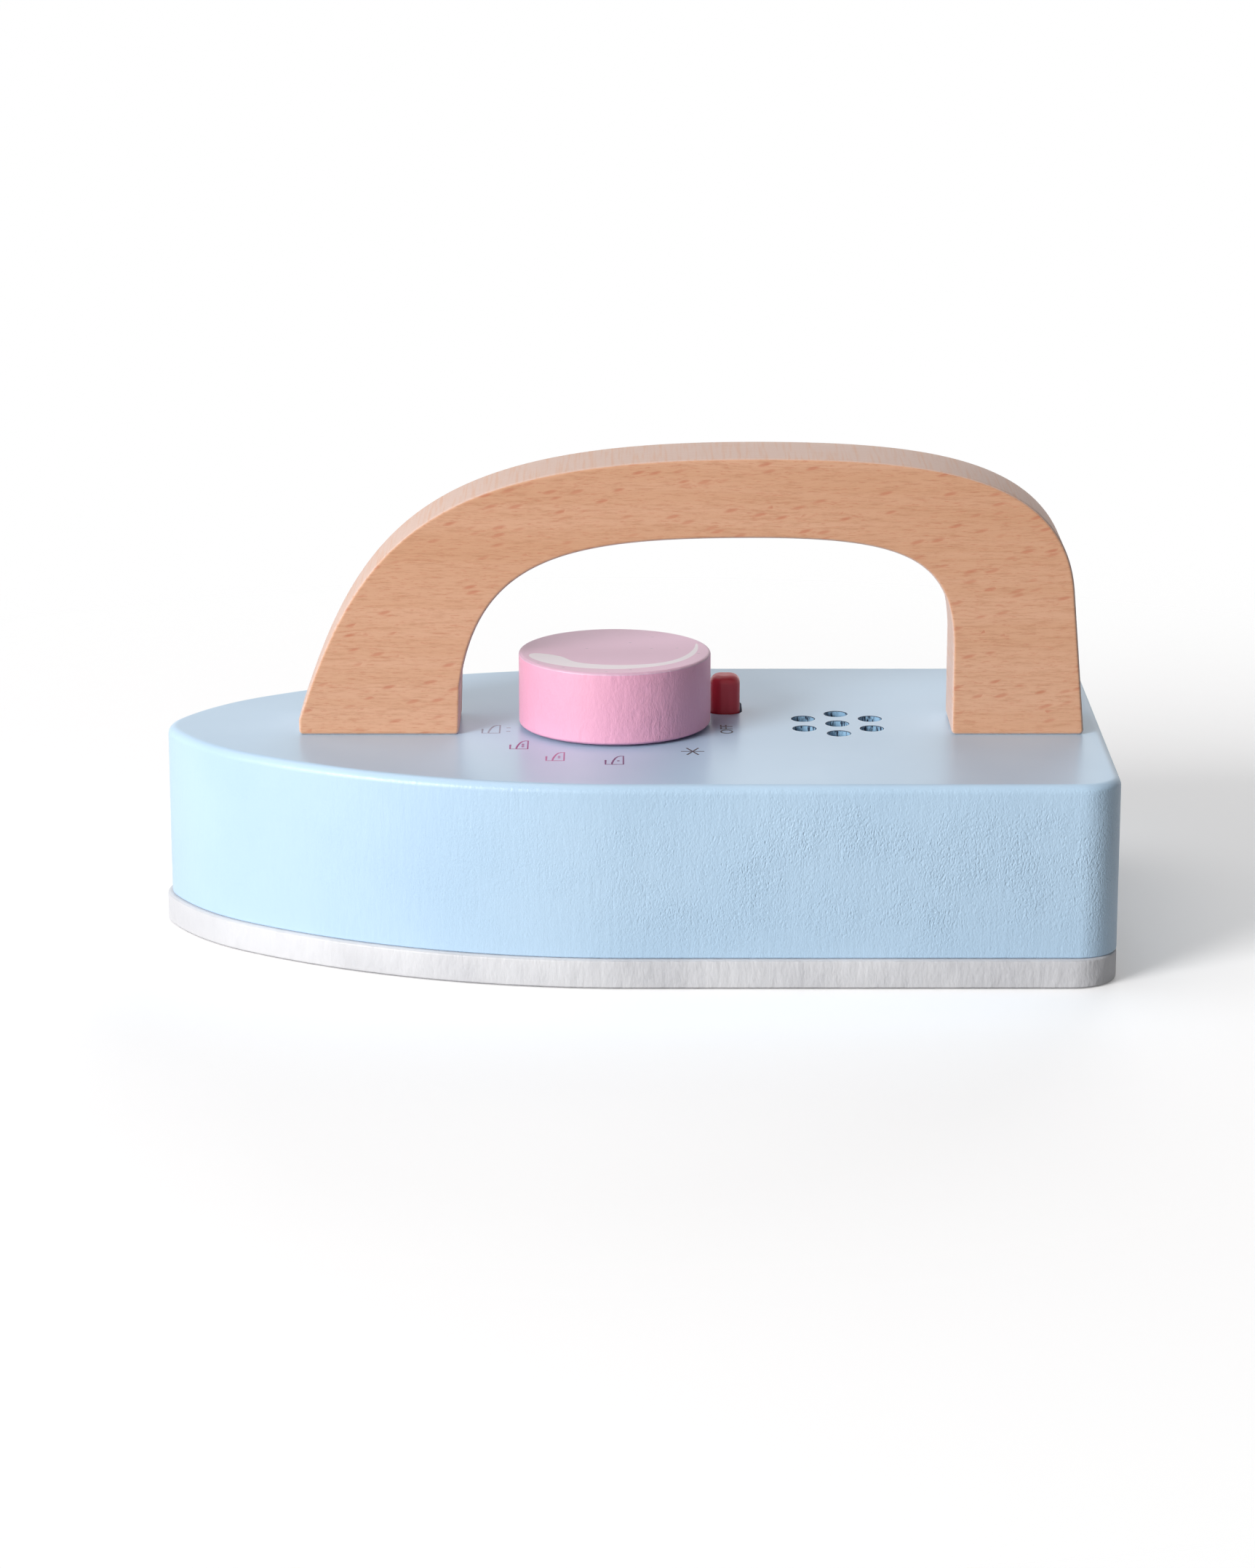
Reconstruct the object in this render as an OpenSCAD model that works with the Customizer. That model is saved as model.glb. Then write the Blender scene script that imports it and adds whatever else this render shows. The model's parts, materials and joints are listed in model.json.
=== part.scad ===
// Wooden toy iron with a turning heat dial, an on and off slide switch and a sound unit.
// Millimetres. X runs from the nose (-) to the heel (+), Z is up, and the origin is on the
// underside of the sole, at the middle of the whole length and width.

/* [Body] */
// Length of the painted body from nose tip to heel
body_l = 160; // [150:1:176]
// Width of the body across its straight sides
body_w = 81.5; // [76:0.5:96]
// Height of the body block on top of the sole plate
body_h = 29.5; // [28:0.5:40]
// Radius of the nose tip, seen from above
nose_r = 10; // [6:0.5:14]
// Radius of the shoulder behind the nose tip
shoulder_r = 42; // [34:1:52]
// Degrees that the nose tip turns through on each side
nose_sweep = 26; // [18:1:34]
// Degrees from the nose at which the shoulder runs into the long flank
shoulder_sweep = 55; // [48:1:60]
// Radius of the two upright corners at the heel
heel_r = 7; // [3:0.5:14]
// Rounding along the top edge of the body
body_edge_r = 1.5; // [0.5:0.1:3]
// Wood left above the pocket that holds the sound unit
top_wall = 6; // [5:0.5:8]

/* [Sole] */
// Thickness of the sole plate
sole_t = 5; // [4.5:0.5:7]
// How far the sole stands out past the body, all round but at the heel
sole_lip = 0.8; // [0:0.1:2]
// Rounding along both edges of the sole
sole_edge_r = 0.5; // [0.2:0.1:1]

/* [Handle] */
// Length of the handle along the iron, over both feet
handle_l = 133.5; // [126:0.5:140]
// Height of the handle above the body
handle_h = 47.8; // [44:0.2:58]
// Thickness of the board that the handle is sawn from
handle_t = 15; // [12:0.5:18]
// Distance from the heel to the back of the rear foot
handle_setback = 3.6; // [2.5:0.1:6]
// Length of the front foot on the body
front_foot_l = 27.2; // [23:0.2:31]
// Length of the rear foot on the body
rear_foot_l = 22.5; // [19:0.5:26]
// Height of the grip at the crown of the arch
grip_t = 13.7; // [11:0.1:17]
// Rounding along the edges of the board
handle_edge_r = 0.7; // [0.4:0.1:2]

/* [Dial] */
// Distance from the heel to the middle of the dial
dial_place = 83.4; // [82:0.2:86]
// Diameter of the dial knob
knob_d = 32.8; // [28:0.2:35]
// Height of the dial knob
knob_h = 12.5; // [10:0.1:16]
// Rounding of the knob's two rims
knob_edge_r = 0.6; // [0.2:0.1:2]
// Gap under the knob
dial_gap = 0.4; // [0.3:0.05:1]
// Diameter of the spindle where it turns in the body
spindle_d = 6; // [5:0.2:8]
// Radial play of the spindle in its hole
spindle_fit = 0.08; // [0.03:0.01:0.1]

/* [Switch] */
// Distance from the heel to the middle of the switch
switch_place = 64.3; // [63.5:0.1:65]
// Distance from the centre line to the middle of the switch slot
switch_side = 11.2; // [9:0.2:13]
// Width of the switch cap across the iron's length
cap_w = 5.1; // [4.6:0.1:6]
// Depth of the switch cap along its travel
cap_d = 5; // [4.6:0.1:6]
// Height of the switch cap above the body
cap_h = 6.5; // [4:0.1:9]
// Rounding of the cap's top edge
cap_edge_r = 1.4; // [0.4:0.1:2]
// Radius of the cap's upright corners
cap_corner_r = 2; // [1.5:0.1:2.2]
// Travel of the switch from off to on
switch_travel = 4; // [2:0.1:5]
// Play between the cap and the sides of its slot
slot_gap = 0.3; // [0.3:0.05:0.6]

/* [Sound holes] */
// Distance from the heel to the middle of the sound holes
grille_place = 45.2; // [44:0.2:46]
// Diameter of each sound hole
hole_d = 3.9; // [2:0.1:5]
// Distance from the middle hole to each hole around it
hole_pitch = 6.65; // [6:0.05:8]
// Number of holes around the middle one
hole_count = 6; // [4:1:6]

/* [Speaker] */
// Diameter of the speaker
speaker_d = 28; // [25:0.5:30]
// Depth of the speaker basket
basket_h = 3.8; // [3:0.1:5]
// Depth of the magnet behind the basket
magnet_h = 2.8; // [2:0.1:4]
// Diameter of the magnet
magnet_d = 12; // [10:0.2:13]
// Thickness of the foam gasket
gasket_t = 0.8; // [0.4:0.1:1.5]

/* [Circuit board] */
// Size of the board along the iron
board_w = 15.4; // [14.6:0.1:16]
// Size of the board across the iron
board_l = 40; // [38:0.5:44]
// Thickness of the board
board_t = 1.2; // [0.8:0.1:1.6]
// Height of the slide switch and of the board's spacers
can_h = 5.2; // [4.8:0.1:6]
// Width of the slide switch
can_w = 6.6; // [6:0.1:7]
// Length of the slide switch along its travel
can_l = 12.7; // [12:0.1:14]

/* [Batteries] */
// Diameter of each cell
cell_d = 10.5; // [9.5:0.1:11]
// Length of each cell over its button
cell_l = 44.5; // [40:0.5:50]
// Length of each contact spring when a cell is in
spring_l = 4.2; // [3.6:0.1:6]
// Wall of the battery box
box_wall = 2; // [1.8:0.1:2.6]
// Thickness of the battery door
door_t = 2; // [1.6:0.1:2.4]
// How far the door lies inside the sole's underside
door_recess = 0.4; // [0.3:0.1:0.8]

/* [Fasteners] */
// Shank diameter of the two handle screws
handle_screw_d = 4; // [3:0.5:5]
// Length of the handle screws under the head
handle_screw_l = 40; // [34:1:46]
// Shank diameter of the sole screws
sole_screw_d = 3.5; // [3:0.1:4]
// Length of the sole screws with the head
sole_screw_l = 20; // [14:0.5:24]

/* [Hidden] */
$fn = 48;
// Overrun of every cut
cut = 1;
// Play between fixed pieces that are pushed or screwed together
snug = 0.02;
// Play between fixed pieces that drop into place
loose = 0.2;
// Play between sliding pieces inside the switch
slide_gap = 0.3;

// Steps of the curved outlines
nose_steps = 5;
shoulder_steps = 7;
flank_steps = 10;
heel_steps = 6;
edge_steps = 4;
profile_steps = 14;
corner_steps = 5;

// Levels
top_z = sole_t + body_h;
ceiling_z = top_z - top_wall;
through_h = top_wall + 2 * cut;

// Places along the iron
heel_x = (body_l + sole_lip) / 2;
nose_x = heel_x - body_l;
dial_x = heel_x - dial_place;
switch_x = heel_x - switch_place;
grille_x = heel_x - grille_place;

// Plan of the body: nose tip, shoulder and flank are arcs that run into each other
nose_c = [nose_x + nose_r, 0];
shoulder_c = nose_c + (shoulder_r - nose_r) * [cos(nose_sweep), -sin(nose_sweep)];
flank_r = (body_w / 2 - shoulder_c[1] - shoulder_r * sin(shoulder_sweep)) / (1 - sin(shoulder_sweep));
flank_c = shoulder_c + (flank_r - shoulder_r) * [cos(shoulder_sweep), -sin(shoulder_sweep)];
seam_r = 0.3;

// Side view of the handle, as shares of its length and height and of the arch under it
crown_shares = [0.578, 1];
front_curve_shares = [[0, 0.055], [0.078, 0.724], [0.175, 1], crown_shares];
rear_curve_shares = [crown_shares, [0.801, 1], [0.97, 0.944], [0.984, 0.523]];
arch_crown_shares = [0.596, 1];
arch_rear_shares = [[1, 0.455], [0.996, 0.893], [0.907, 1], arch_crown_shares];
arch_front_shares = [arch_crown_shares, [0.225, 1], [0.042, 0.914], [0.003, 0.25]];
handle_x = heel_x - handle_setback - handle_l;
arch_l = handle_l - front_foot_l - rear_foot_l;
arch_h = handle_h - grip_t;
foot_corner_extra = 0.4;
foot_corner_r = handle_edge_r + foot_corner_extra;

// Handle screws, driven up from the underside of the body
handle_screw_xs = [handle_x + front_foot_l / 2, heel_x - handle_setback - rear_foot_l / 2];
handle_head_d = 2 * handle_screw_d;
handle_head_share = 0.7;
handle_head_h = handle_head_share * handle_screw_d;
handle_head_room = 0.3;
handle_head_z = top_z - handle_screw_l / 2;

// Sole screws, one behind the nose and one pair at each end of the sides
sole_head_d = 2 * sole_screw_d;
sole_head_h = (sole_head_d - sole_screw_d) / 2;
sole_head_recess = 0.2;
sole_nose_inset = 18;
sole_front_back = 56;
sole_heel_inset = 12;
sole_side_inset = 12.5;
sole_side_y = body_w / 2 - sole_side_inset;
sole_screw_places = [
    [nose_x + sole_nose_inset, 0],
    for (side = [-1, 1]) [nose_x + sole_front_back, side * sole_side_y],
    for (side = [-1, 1]) [heel_x - sole_heel_inset, side * sole_side_y],
];

// Dial spindle with its washers
spindle_head_d = 11;
spindle_head_h = 3;
spindle_thread_d = 4;
spindle_thread_share = 0.7;
dial_washer_t = 1;
dial_washer_d = 14;
dial_washer_gap = 0.2;
glide_washer_d = 18;
glide_play = 0.1;
knob_z = top_z + dial_gap;
dial_washer_z = ceiling_z - dial_washer_gap - dial_washer_t;
washer_bore_gap = 0.3;

// Slide switch
slot_w = cap_w + 2 * slot_gap;
slot_l = cap_d + switch_travel + 2 * slot_gap;
slot_r = cap_corner_r + slot_gap;
cap_y = switch_side - switch_travel / 2;
cap_low_share = 0.75;
cap_z = top_z - cap_low_share * top_wall;
stem_w = 3;
stem_d = 3;
stem_in_cap_share = 0.6;
can_wall = 0.4;
can_inner_w = can_w - 2 * can_wall;
can_inner_l = can_l - 2 * can_wall;
switch_base_t = 1;
lever_t = 2;
lever_l = can_inner_l - switch_travel - 2 * slide_gap;
lever_z = ceiling_z - can_wall - slide_gap - lever_t;
contact_t = 0.3;
contact_w = 2.4;
contact_bump_r = 0.4;
terminal_d = 0.8;
terminal_head_d = 1.6;
terminal_head_h = 0.3;
terminal_tail = 1.5;
terminal_pitch = switch_travel;
terminal_ys = [for (i = [-1:1]) switch_side + i * terminal_pitch];

// Circuit board, hung under the ceiling of the pocket on two spacers
board_top_z = ceiling_z - can_h;
board_z = board_top_z - board_t;
board_edge = 1;
board_x1 = switch_x + can_w / 2 + board_edge;
board_x0 = board_x1 - board_w;
board_screw_d = 2.4;
board_head_d = 4.6;
board_head_h = 1.6;
board_grip = 4.4;
spacer_d = 5.4;
board_screw_inset = 3.2;
board_screw_places = [
    [board_x0 + board_screw_inset, board_l / 2 - board_screw_inset],
    [board_x1 - board_screw_inset, board_screw_inset - board_l / 2],
];
chip_d = 8;
chip_h = 1.6;
chip_y_share = -0.03;
chip_x_share = 0.5;
capacitor_d = 4;
capacitor_l = 7;
capacitor_rim_r = 0.4;
capacitor_y_share = -0.38;
capacitor_x_share = 0.36;
resistor_d = 1.8;
resistor_l = 5;
resistor_x_share = 0.34;
resistor_y_shares = [0.19, 0.27];

// Speaker, hung face up under the sound holes
rim_t = 0.2;
flange_t = 0.8;
flange_w = 2;
basket_wall = 0.6;
flange_z = ceiling_z - gasket_t - rim_t;
basket_r_share = 0.6;
coil_r_share = 0.39;
coil_t = 0.4;
coil_gap = 0.5;
coil_h = 1.5;
pole_gap = 0.6;
cone_t = 0.3;
cone_play = 0.4;
cone_drop_share = 0.4;
dome_rise = 1.2;
basket_windows = 4;
window_share = 0.3;

// Battery box, let into the sole, with two cells side by side
divider_t = 1.2;
cell_play = 0.3;
lane_y = (divider_t + cell_d) / 2 + cell_play;
plate_t = 0.4;
plate_h = 8;
plate_w = 8;
cavity_l = cell_l + spring_l + 2 * (plate_t + snug) + cell_play;
cavity_w = 2 * lane_y + cell_d + 2 * cell_play;
boss_l = 8;
box_l = cavity_l + boss_l + 2 * box_wall;
box_w = cavity_w + 2 * box_wall;
box_r = 2;
door_z = door_recess;
door_seat_z = door_z + door_t + snug;
cell_z = door_seat_z + cell_play + cell_d / 2;
cavity_top_z = cell_z + cell_d / 2 + cell_play;
box_top_z = cavity_top_z + box_wall;
rim_share = 0.4;
door_l = box_l - 2 * rim_share * box_wall - 2 * loose;
door_tab_l = rim_share * box_wall + loose;
door_w = box_w - 2 * rim_share * box_wall - 2 * loose;
door_r = box_r / 2;
rear_wall = 3;
pocket_x1 = handle_screw_xs[1] - handle_head_d / 2 - handle_head_room - rear_wall;
pocket_end_room = 3;
box_x1 = pocket_x1 - pocket_end_room;
box_x0 = box_x1 - box_l;
box_x = (box_x0 + box_x1) / 2;
cavity_x0 = box_x0 + box_wall;
cavity_x1 = cavity_x0 + cavity_l;
box_flange_t = 1.6;
box_flange_w = 6;
box_flange_r = 3;
box_screw_d = 2.6;
box_screw_head_d = 5;
box_screw_head_h = 1.6;
box_screw_grip = 4;
box_screw_inset = 6;
box_screw_places = [
    for (x = [box_x0 + box_screw_inset, box_x1 - box_screw_inset], side = [-1, 1])
        [x, side * (box_w + box_flange_w) / 2],
];
door_screw_d = 2.2;
door_screw_head_d = 4.4;
door_screw_head_h = (door_screw_head_d - door_screw_d) / 2;
door_screw_grip = 6;
door_screw_x = cavity_x1 + boss_l / 2;
door_tab_w = 8;
door_tab_share = 0.5;
door_groove_w = 1;
door_groove_share = 0.2;
door_groove_pitch = 2.4;
door_groove_l_share = 0.5;
door_grooves = 4;
tag_w = 2.4;
tag_l = 2.4;
tag_rise = 2;
tag_z = cell_z + tag_rise;
button_d = 3.8;
button_h = 1;
cell_edge_r = 0.5;
spring_wire_d = 0.6;
spring_r = 2.6;
spring_turns = 3;
spring_rings = 8;
spring_sides = 6;

// Pocket routed into the body from below
pocket_front_room = 7;
pocket_side_room = 2.5;
pocket_r = 6;
pocket_x0 = box_x0 - pocket_front_room;
pocket_l = pocket_x1 - pocket_x0;
pocket_w = max(box_w + 2 * box_flange_w, board_l) + 2 * pocket_side_room;

// Insulated leads
lead_d = 1.2;
lead_sides = 8;
lead_steps = 12;
lead_drop = 4;
lead_pad_inset = 2.2;
battery_pad_x = board_x0 + lead_pad_inset;
speaker_pad_x = board_x1 - lead_pad_inset;
speaker_pad_y_shares = [-0.2, -0.28];
speaker_tag_angles = [208, 233];
speaker_tag_share = 0.52;
lead_board_z = board_z - snug;

// Curves and loops of points
function unit(v) = v / norm(v);

function arc(c, r, a0, a1, n, from = 0) =
    [for (i = [from:n]) let(a = a0 + (a1 - a0) * i / n) c + r * [cos(a), sin(a)]];

function bezier(p, n, from = 0) =
    [for (i = [from:n]) let(t = i / n, s = 1 - t)
        s * s * s * p[0] + 3 * s * s * t * p[1] + 3 * s * t * t * p[2] + t * t * t * p[3]];

// Round corner at p, between the directions to a and b
function fillet(a, p, b, r, n) =
    let(u = unit(a - p), v = unit(b - p), h = acos(u * v) / 2, c = p + unit(u + v) * r / sin(h),
        d0 = unit(p + u * r / tan(h) - c), d1 = unit(p + v * r / tan(h) - c))
    [for (i = [0:n]) c + r * unit(d0 * (n - i) + d1 * i)];

// Clockwise loop drawn in by d
function inset(loop, d) =
    let(n = len(loop))
    [for (i = [0:n - 1])
        let(u = unit(loop[i] - loop[(i + n - 1) % n]), v = unit(loop[(i + 1) % n] - loop[i]),
            a = [u[1], -u[0]], b = [v[1], -v[0]])
        loop[i] + d * (a + b) / (1 + a * b)];

// Levels from low to high with the inset of the rounded edges r0 and r1
function rounded_levels(low, high, r0, r1) = concat(
    [for (i = [0:edge_steps]) let(a = 90 * i / edge_steps) [low + r0 * (1 - cos(a)), r0 * (1 - sin(a))]],
    [for (i = [edge_steps:-1:0]) let(a = 90 * i / edge_steps) [high - r1 * (1 - cos(a)), r1 * (1 - sin(a))]]);

// Plan of the body, grown by g, with the heel drawn in by back
function plan_half(g, back) = concat(
    arc([heel_x - heel_r - back, body_w / 2 - heel_r], heel_r + g, 0, 90, heel_steps),
    arc(flank_c, flank_r + g, 90, 180 - shoulder_sweep, flank_steps),
    arc(shoulder_c, shoulder_r + g, 180 - shoulder_sweep, 180 - nose_sweep, shoulder_steps, 1),
    arc(nose_c, nose_r + g, 180 - nose_sweep, 180, nose_steps, 1));

function plan(g, back) =
    let(half = plan_half(g, back))
    concat(half, [for (i = [len(half) - 2:-1:0]) [half[i][0], -half[i][1]]]);

// Rectangle with round corners, drawn in by d
function rounded_loop(w, l, r, d) =
    [for (q = [0:3]) let(c = [sign(cos(90 * q + 45)) * (w / 2 - r), sign(sin(90 * q + 45)) * (l / 2 - r)])
        each arc(c, r - d, 90 * q, 90 * q + 90, corner_steps)];

// Side view of the handle, clockwise from the front foot
function handle_point(share) = [share[0] * handle_l, share[1] * handle_h];
function arch_point(share) = [front_foot_l + share[0] * arch_l, share[1] * arch_h];

function handle_loop() =
    let(front_curve = [for (s = front_curve_shares) handle_point(s)],
        rear_curve = [for (s = rear_curve_shares) handle_point(s)],
        arch_rear = [for (s = arch_rear_shares) arch_point(s)],
        arch_front = [for (s = arch_front_shares) arch_point(s)],
        front_out = [0, 0], front_in = [front_foot_l, 0],
        rear_in = [front_foot_l + arch_l, 0], rear_out = [handle_l, 0])
    concat(
        fillet(front_in, front_out, front_curve[0], foot_corner_r, corner_steps),
        bezier(front_curve, profile_steps),
        bezier(rear_curve, profile_steps, 1),
        fillet(rear_curve[3], rear_out, rear_in, foot_corner_r, corner_steps),
        fillet(rear_out, rear_in, arch_rear[0], foot_corner_r, corner_steps),
        bezier(arch_rear, profile_steps),
        bezier(arch_front, profile_steps, 1),
        fillet(arch_front[3], front_in, front_out, foot_corner_r, corner_steps));

// Closed skin over rings of points, each ring anticlockwise as seen from the last one. The end faces
// are strips of triangles from one half of the ring to the other.
module skin(rings) {
    n = len(rings[0]);
    last = (len(rings) - 1) * n;
    sides = [for (k = [0:len(rings) - 2], i = [0:n - 1])
        let(a = k * n + i, b = k * n + (i + 1) % n)
        each [[a, a + n, b + n], [a, b + n, b]]];
    strip = concat(
        [for (i = [0:ceil(n / 2) - 2]) [i, i + 1, n - 1 - i]],
        [for (i = [0:floor(n / 2) - 2]) [i + 1, n - 2 - i, n - 1 - i]]);
    far_strip = [for (f = strip) [last + f[0], last + f[2], last + f[1]]];
    polyhedron([for (ring = rings) each ring], concat(sides, strip, far_strip));
}

// Round tube along a path, turned about ref
module tube(path, d, sides, ref) {
    last = len(path) - 1;
    skin([for (i = [0:last])
        let(t = unit(path[min(i + 1, last)] - path[max(i - 1, 0)]), u = unit(cross(ref, t)), v = cross(t, u))
        [for (k = [0:sides - 1]) let(a = 360 * k / sides) path[i] + d / 2 * (cos(a) * u + sin(a) * v)]]);
}

// Insulated lead that leaves each end straight up or down, by the signed length given
module lead(a, rise_a, b, rise_b) {
    low = a + [0, 0, rise_a];
    high = b + [0, 0, rise_b];
    low_pull = [0, 0, sign(rise_a) * lead_drop];
    high_pull = [0, 0, sign(rise_b) * lead_drop];
    path = bezier([low, low + low_pull, high + high_pull, high], lead_steps);
    tube(concat([a], path, [b]), lead_d, lead_sides, [0, 1, 0]);
}

// Slab with the body's plan and rounded edges
module plan_slab(low, high, r0, r1, lip, back) {
    skin([for (level = rounded_levels(low, high, r0, r1))
        [for (p = plan(lip - level[1], back)) [p[0], p[1], level[0]]]]);
}

module rounded_rect(l, w, r) {
    square([l - 2 * r, w], center = true);
    square([l, w - 2 * r], center = true);
    for (x = [-1, 1], y = [-1, 1])
        translate([x * (l / 2 - r), y * (w / 2 - r)]) circle(r);
}

module ring(outer_d, inner_d, h) {
    difference() {
        cylinder(d = outer_d, h = h);
        translate([0, 0, -cut]) cylinder(d = inner_d, h = h + 2 * cut);
    }
}

// Turned disc with round rims
module turned_disc(d, h, r) {
    rotate_extrude() {
        square([d / 2 - r, h]);
        translate([0, r]) square([d / 2, h - 2 * r]);
        for (z = [r, h - r]) translate([d / 2 - r, z]) circle(r);
    }
}

// Screw pointing up, with a flat head under z = 0 and a pointed end
module pan_screw(d, l, head_d, head_h) {
    translate([0, 0, -head_h]) cylinder(d = head_d, h = head_h);
    cylinder(d = d, h = l - d);
    translate([0, 0, l - d]) cylinder(d1 = d, d2 = d / 4, h = d);
}

// Screw pointing up, with a countersunk head that starts at z = 0
module sunk_screw(d, l, head_d, head_h) {
    cylinder(d1 = head_d, d2 = d, h = head_h);
    translate([0, 0, head_h]) cylinder(d = d, h = l - d - head_h);
    translate([0, 0, l - d]) cylinder(d1 = d, d2 = d / 4, h = d);
}

module sunk_hole(d, head_d, head_h, l) {
    translate([0, 0, -cut]) cylinder(d = head_d, h = cut);
    cylinder(d1 = head_d, d2 = d, h = head_h);
    cylinder(d = d, h = l);
}

module at_places(places, z) {
    for (p = places) translate([p[0], p[1], z]) children();
}

module sound_holes() {
    translate([grille_x, 0, ceiling_z - cut]) {
        cylinder(d = hole_d, h = through_h);
        for (i = [0:hole_count - 1])
            rotate(90 + i * 360 / hole_count) translate([hole_pitch, 0]) cylinder(d = hole_d, h = through_h);
    }
}

module pocket() {
    translate([pocket_x0 + pocket_l / 2, 0, sole_t - cut])
        linear_extrude(ceiling_z - sole_t + cut) rounded_rect(pocket_l, pocket_w, pocket_r);
}

module body_block() {
    color("#b7cfe4") difference() {
        plan_slab(sole_t, top_z, seam_r, body_edge_r, 0, 0);
        pocket();
        sound_holes();
        translate([dial_x, 0, ceiling_z - cut]) cylinder(d = spindle_d + 2 * spindle_fit, h = through_h);
        translate([switch_x, switch_side, ceiling_z - cut])
            linear_extrude(through_h) rounded_rect(slot_w, slot_l, slot_r);
        for (x = handle_screw_xs) translate([x, 0, sole_t - cut]) {
            cylinder(d = handle_head_d + 2 * handle_head_room, h = handle_head_z - sole_t + cut);
            cylinder(d = handle_screw_d + 2 * snug, h = body_h + 2 * cut);
        }
        at_places(sole_screw_places, sole_t - cut)
            cylinder(d = sole_screw_d + 2 * snug, h = sole_head_recess + sole_screw_l - sole_t + cut + loose);
        at_places(board_screw_places, ceiling_z - cut)
            cylinder(d = board_screw_d + 2 * snug, h = board_grip + loose + cut);
    }
}

module sole_plate() {
    color("#e4e2e3") difference() {
        plan_slab(0, sole_t, sole_edge_r, sole_edge_r, sole_lip, sole_lip);
        translate([box_x, 0, -cut])
            linear_extrude(sole_t + 2 * cut)
                rounded_rect(box_l + 2 * loose, box_w + 2 * loose, box_r + loose);
        at_places(sole_screw_places, sole_head_recess)
            sunk_hole(sole_screw_d + 2 * snug, sole_head_d + 2 * snug, sole_head_h, sole_t + cut);
        at_places(box_screw_places, sole_t - box_screw_grip)
            cylinder(d = box_screw_d + 2 * snug, h = box_screw_grip + cut);
    }
}

module handle() {
    loop = handle_loop();
    color("#d8a984") difference() {
        translate([handle_x, 0, top_z])
            skin([for (level = rounded_levels(-handle_t / 2, handle_t / 2, handle_edge_r, handle_edge_r))
                [for (p = inset(loop, level[1])) [p[0], level[0], p[1]]]]);
        for (x = handle_screw_xs) translate([x, 0, top_z - cut])
            cylinder(d = handle_screw_d + 2 * snug, h = handle_head_z + handle_screw_l - top_z + cut + loose);
    }
}

module handle_screws() {
    color("silver") for (x = handle_screw_xs) translate([x, 0, handle_head_z])
        pan_screw(handle_screw_d, handle_screw_l, handle_head_d, handle_head_h);
}

module sole_screws() {
    color("silver") at_places(sole_screw_places, sole_head_recess)
        sunk_screw(sole_screw_d, sole_screw_l, sole_head_d, sole_head_h);
}

module dial_knob() {
    color("#e6a9c9") translate([dial_x, 0, knob_z]) difference() {
        turned_disc(knob_d, knob_h, knob_edge_r);
        translate([0, 0, -cut])
            cylinder(d = spindle_thread_d + 2 * snug, h = spindle_thread_share * knob_h + snug + cut);
    }
}

module dial_spindle() {
    shoulder_l = knob_z - dial_washer_z;
    color("silver") translate([dial_x, 0, dial_washer_z]) {
        translate([0, 0, -spindle_head_h]) cylinder(d = spindle_head_d, h = spindle_head_h);
        cylinder(d = spindle_d, h = shoulder_l);
        translate([0, 0, shoulder_l]) cylinder(d = spindle_thread_d, h = spindle_thread_share * knob_h);
    }
}

module dial_washer() {
    color("gainsboro") translate([dial_x, 0, dial_washer_z])
        ring(dial_washer_d, spindle_d + 2 * snug, dial_washer_t);
}

module glide_washer() {
    color("#5a4634") translate([dial_x, 0, top_z])
        ring(glide_washer_d, spindle_d + 2 * washer_bore_gap, dial_gap - glide_play);
}

module switch_cap() {
    height = top_z + cap_h - cap_z;
    socket_h = stem_in_cap_share * height;
    color("#b2303a") translate([switch_x, cap_y, cap_z]) difference() {
        skin([for (level = rounded_levels(0, height, seam_r, cap_edge_r))
            [for (p = rounded_loop(cap_w, cap_d, cap_corner_r, level[1])) [p[0], p[1], level[0]]]]);
        translate([-stem_w / 2 - snug, -stem_d / 2 - snug, -cut])
            cube([stem_w + 2 * snug, stem_d + 2 * snug, socket_h + snug + cut]);
    }
}

module switch_lever() {
    stem_h = cap_z + stem_in_cap_share * (top_z + cap_h - cap_z) - lever_z;
    width = can_inner_w - 2 * slide_gap;
    color("#2b2b2e") translate([switch_x, cap_y, lever_z]) {
        translate([-width / 2, -lever_l / 2, 0]) cube([width, lever_l, lever_t]);
        translate([-stem_w / 2, -stem_d / 2, 0]) cube([stem_w, stem_d, stem_h]);
    }
}

module switch_contact() {
    bump_z = contact_t - contact_bump_r;
    color("#b08d4f") translate([switch_x, cap_y, lever_z - contact_t - snug]) {
        translate([-contact_w / 2, -lever_l / 2, 0]) cube([contact_w, lever_l, contact_t]);
        for (y = [-terminal_pitch / 2, terminal_pitch / 2])
            translate([-contact_w / 2, y, bump_z]) rotate([0, 90, 0])
                cylinder(r = contact_bump_r, h = contact_w);
    }
}

module switch_can() {
    color("#c9c9cc") translate([switch_x, switch_side, board_top_z]) difference() {
        translate([-can_w / 2, -can_l / 2, 0]) cube([can_w, can_l, can_h]);
        translate([-can_inner_w / 2, -can_inner_l / 2, -cut])
            cube([can_inner_w, can_inner_l, can_h - can_wall + cut]);
        translate([-stem_w / 2 - slide_gap, -(stem_d + switch_travel) / 2 - slide_gap, 0])
            cube([stem_w + 2 * slide_gap, stem_d + switch_travel + 2 * slide_gap, can_h + cut]);
    }
}

module switch_base() {
    color("#7a4a2a") difference() {
        translate([switch_x - can_inner_w / 2 + snug, switch_side - can_inner_l / 2 + snug, board_top_z])
            cube([can_inner_w - 2 * snug, can_inner_l - 2 * snug, switch_base_t]);
        for (y = terminal_ys) translate([switch_x, y, board_top_z - cut])
            cylinder(d = terminal_d + 2 * snug, h = switch_base_t + 2 * cut);
    }
}

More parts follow.
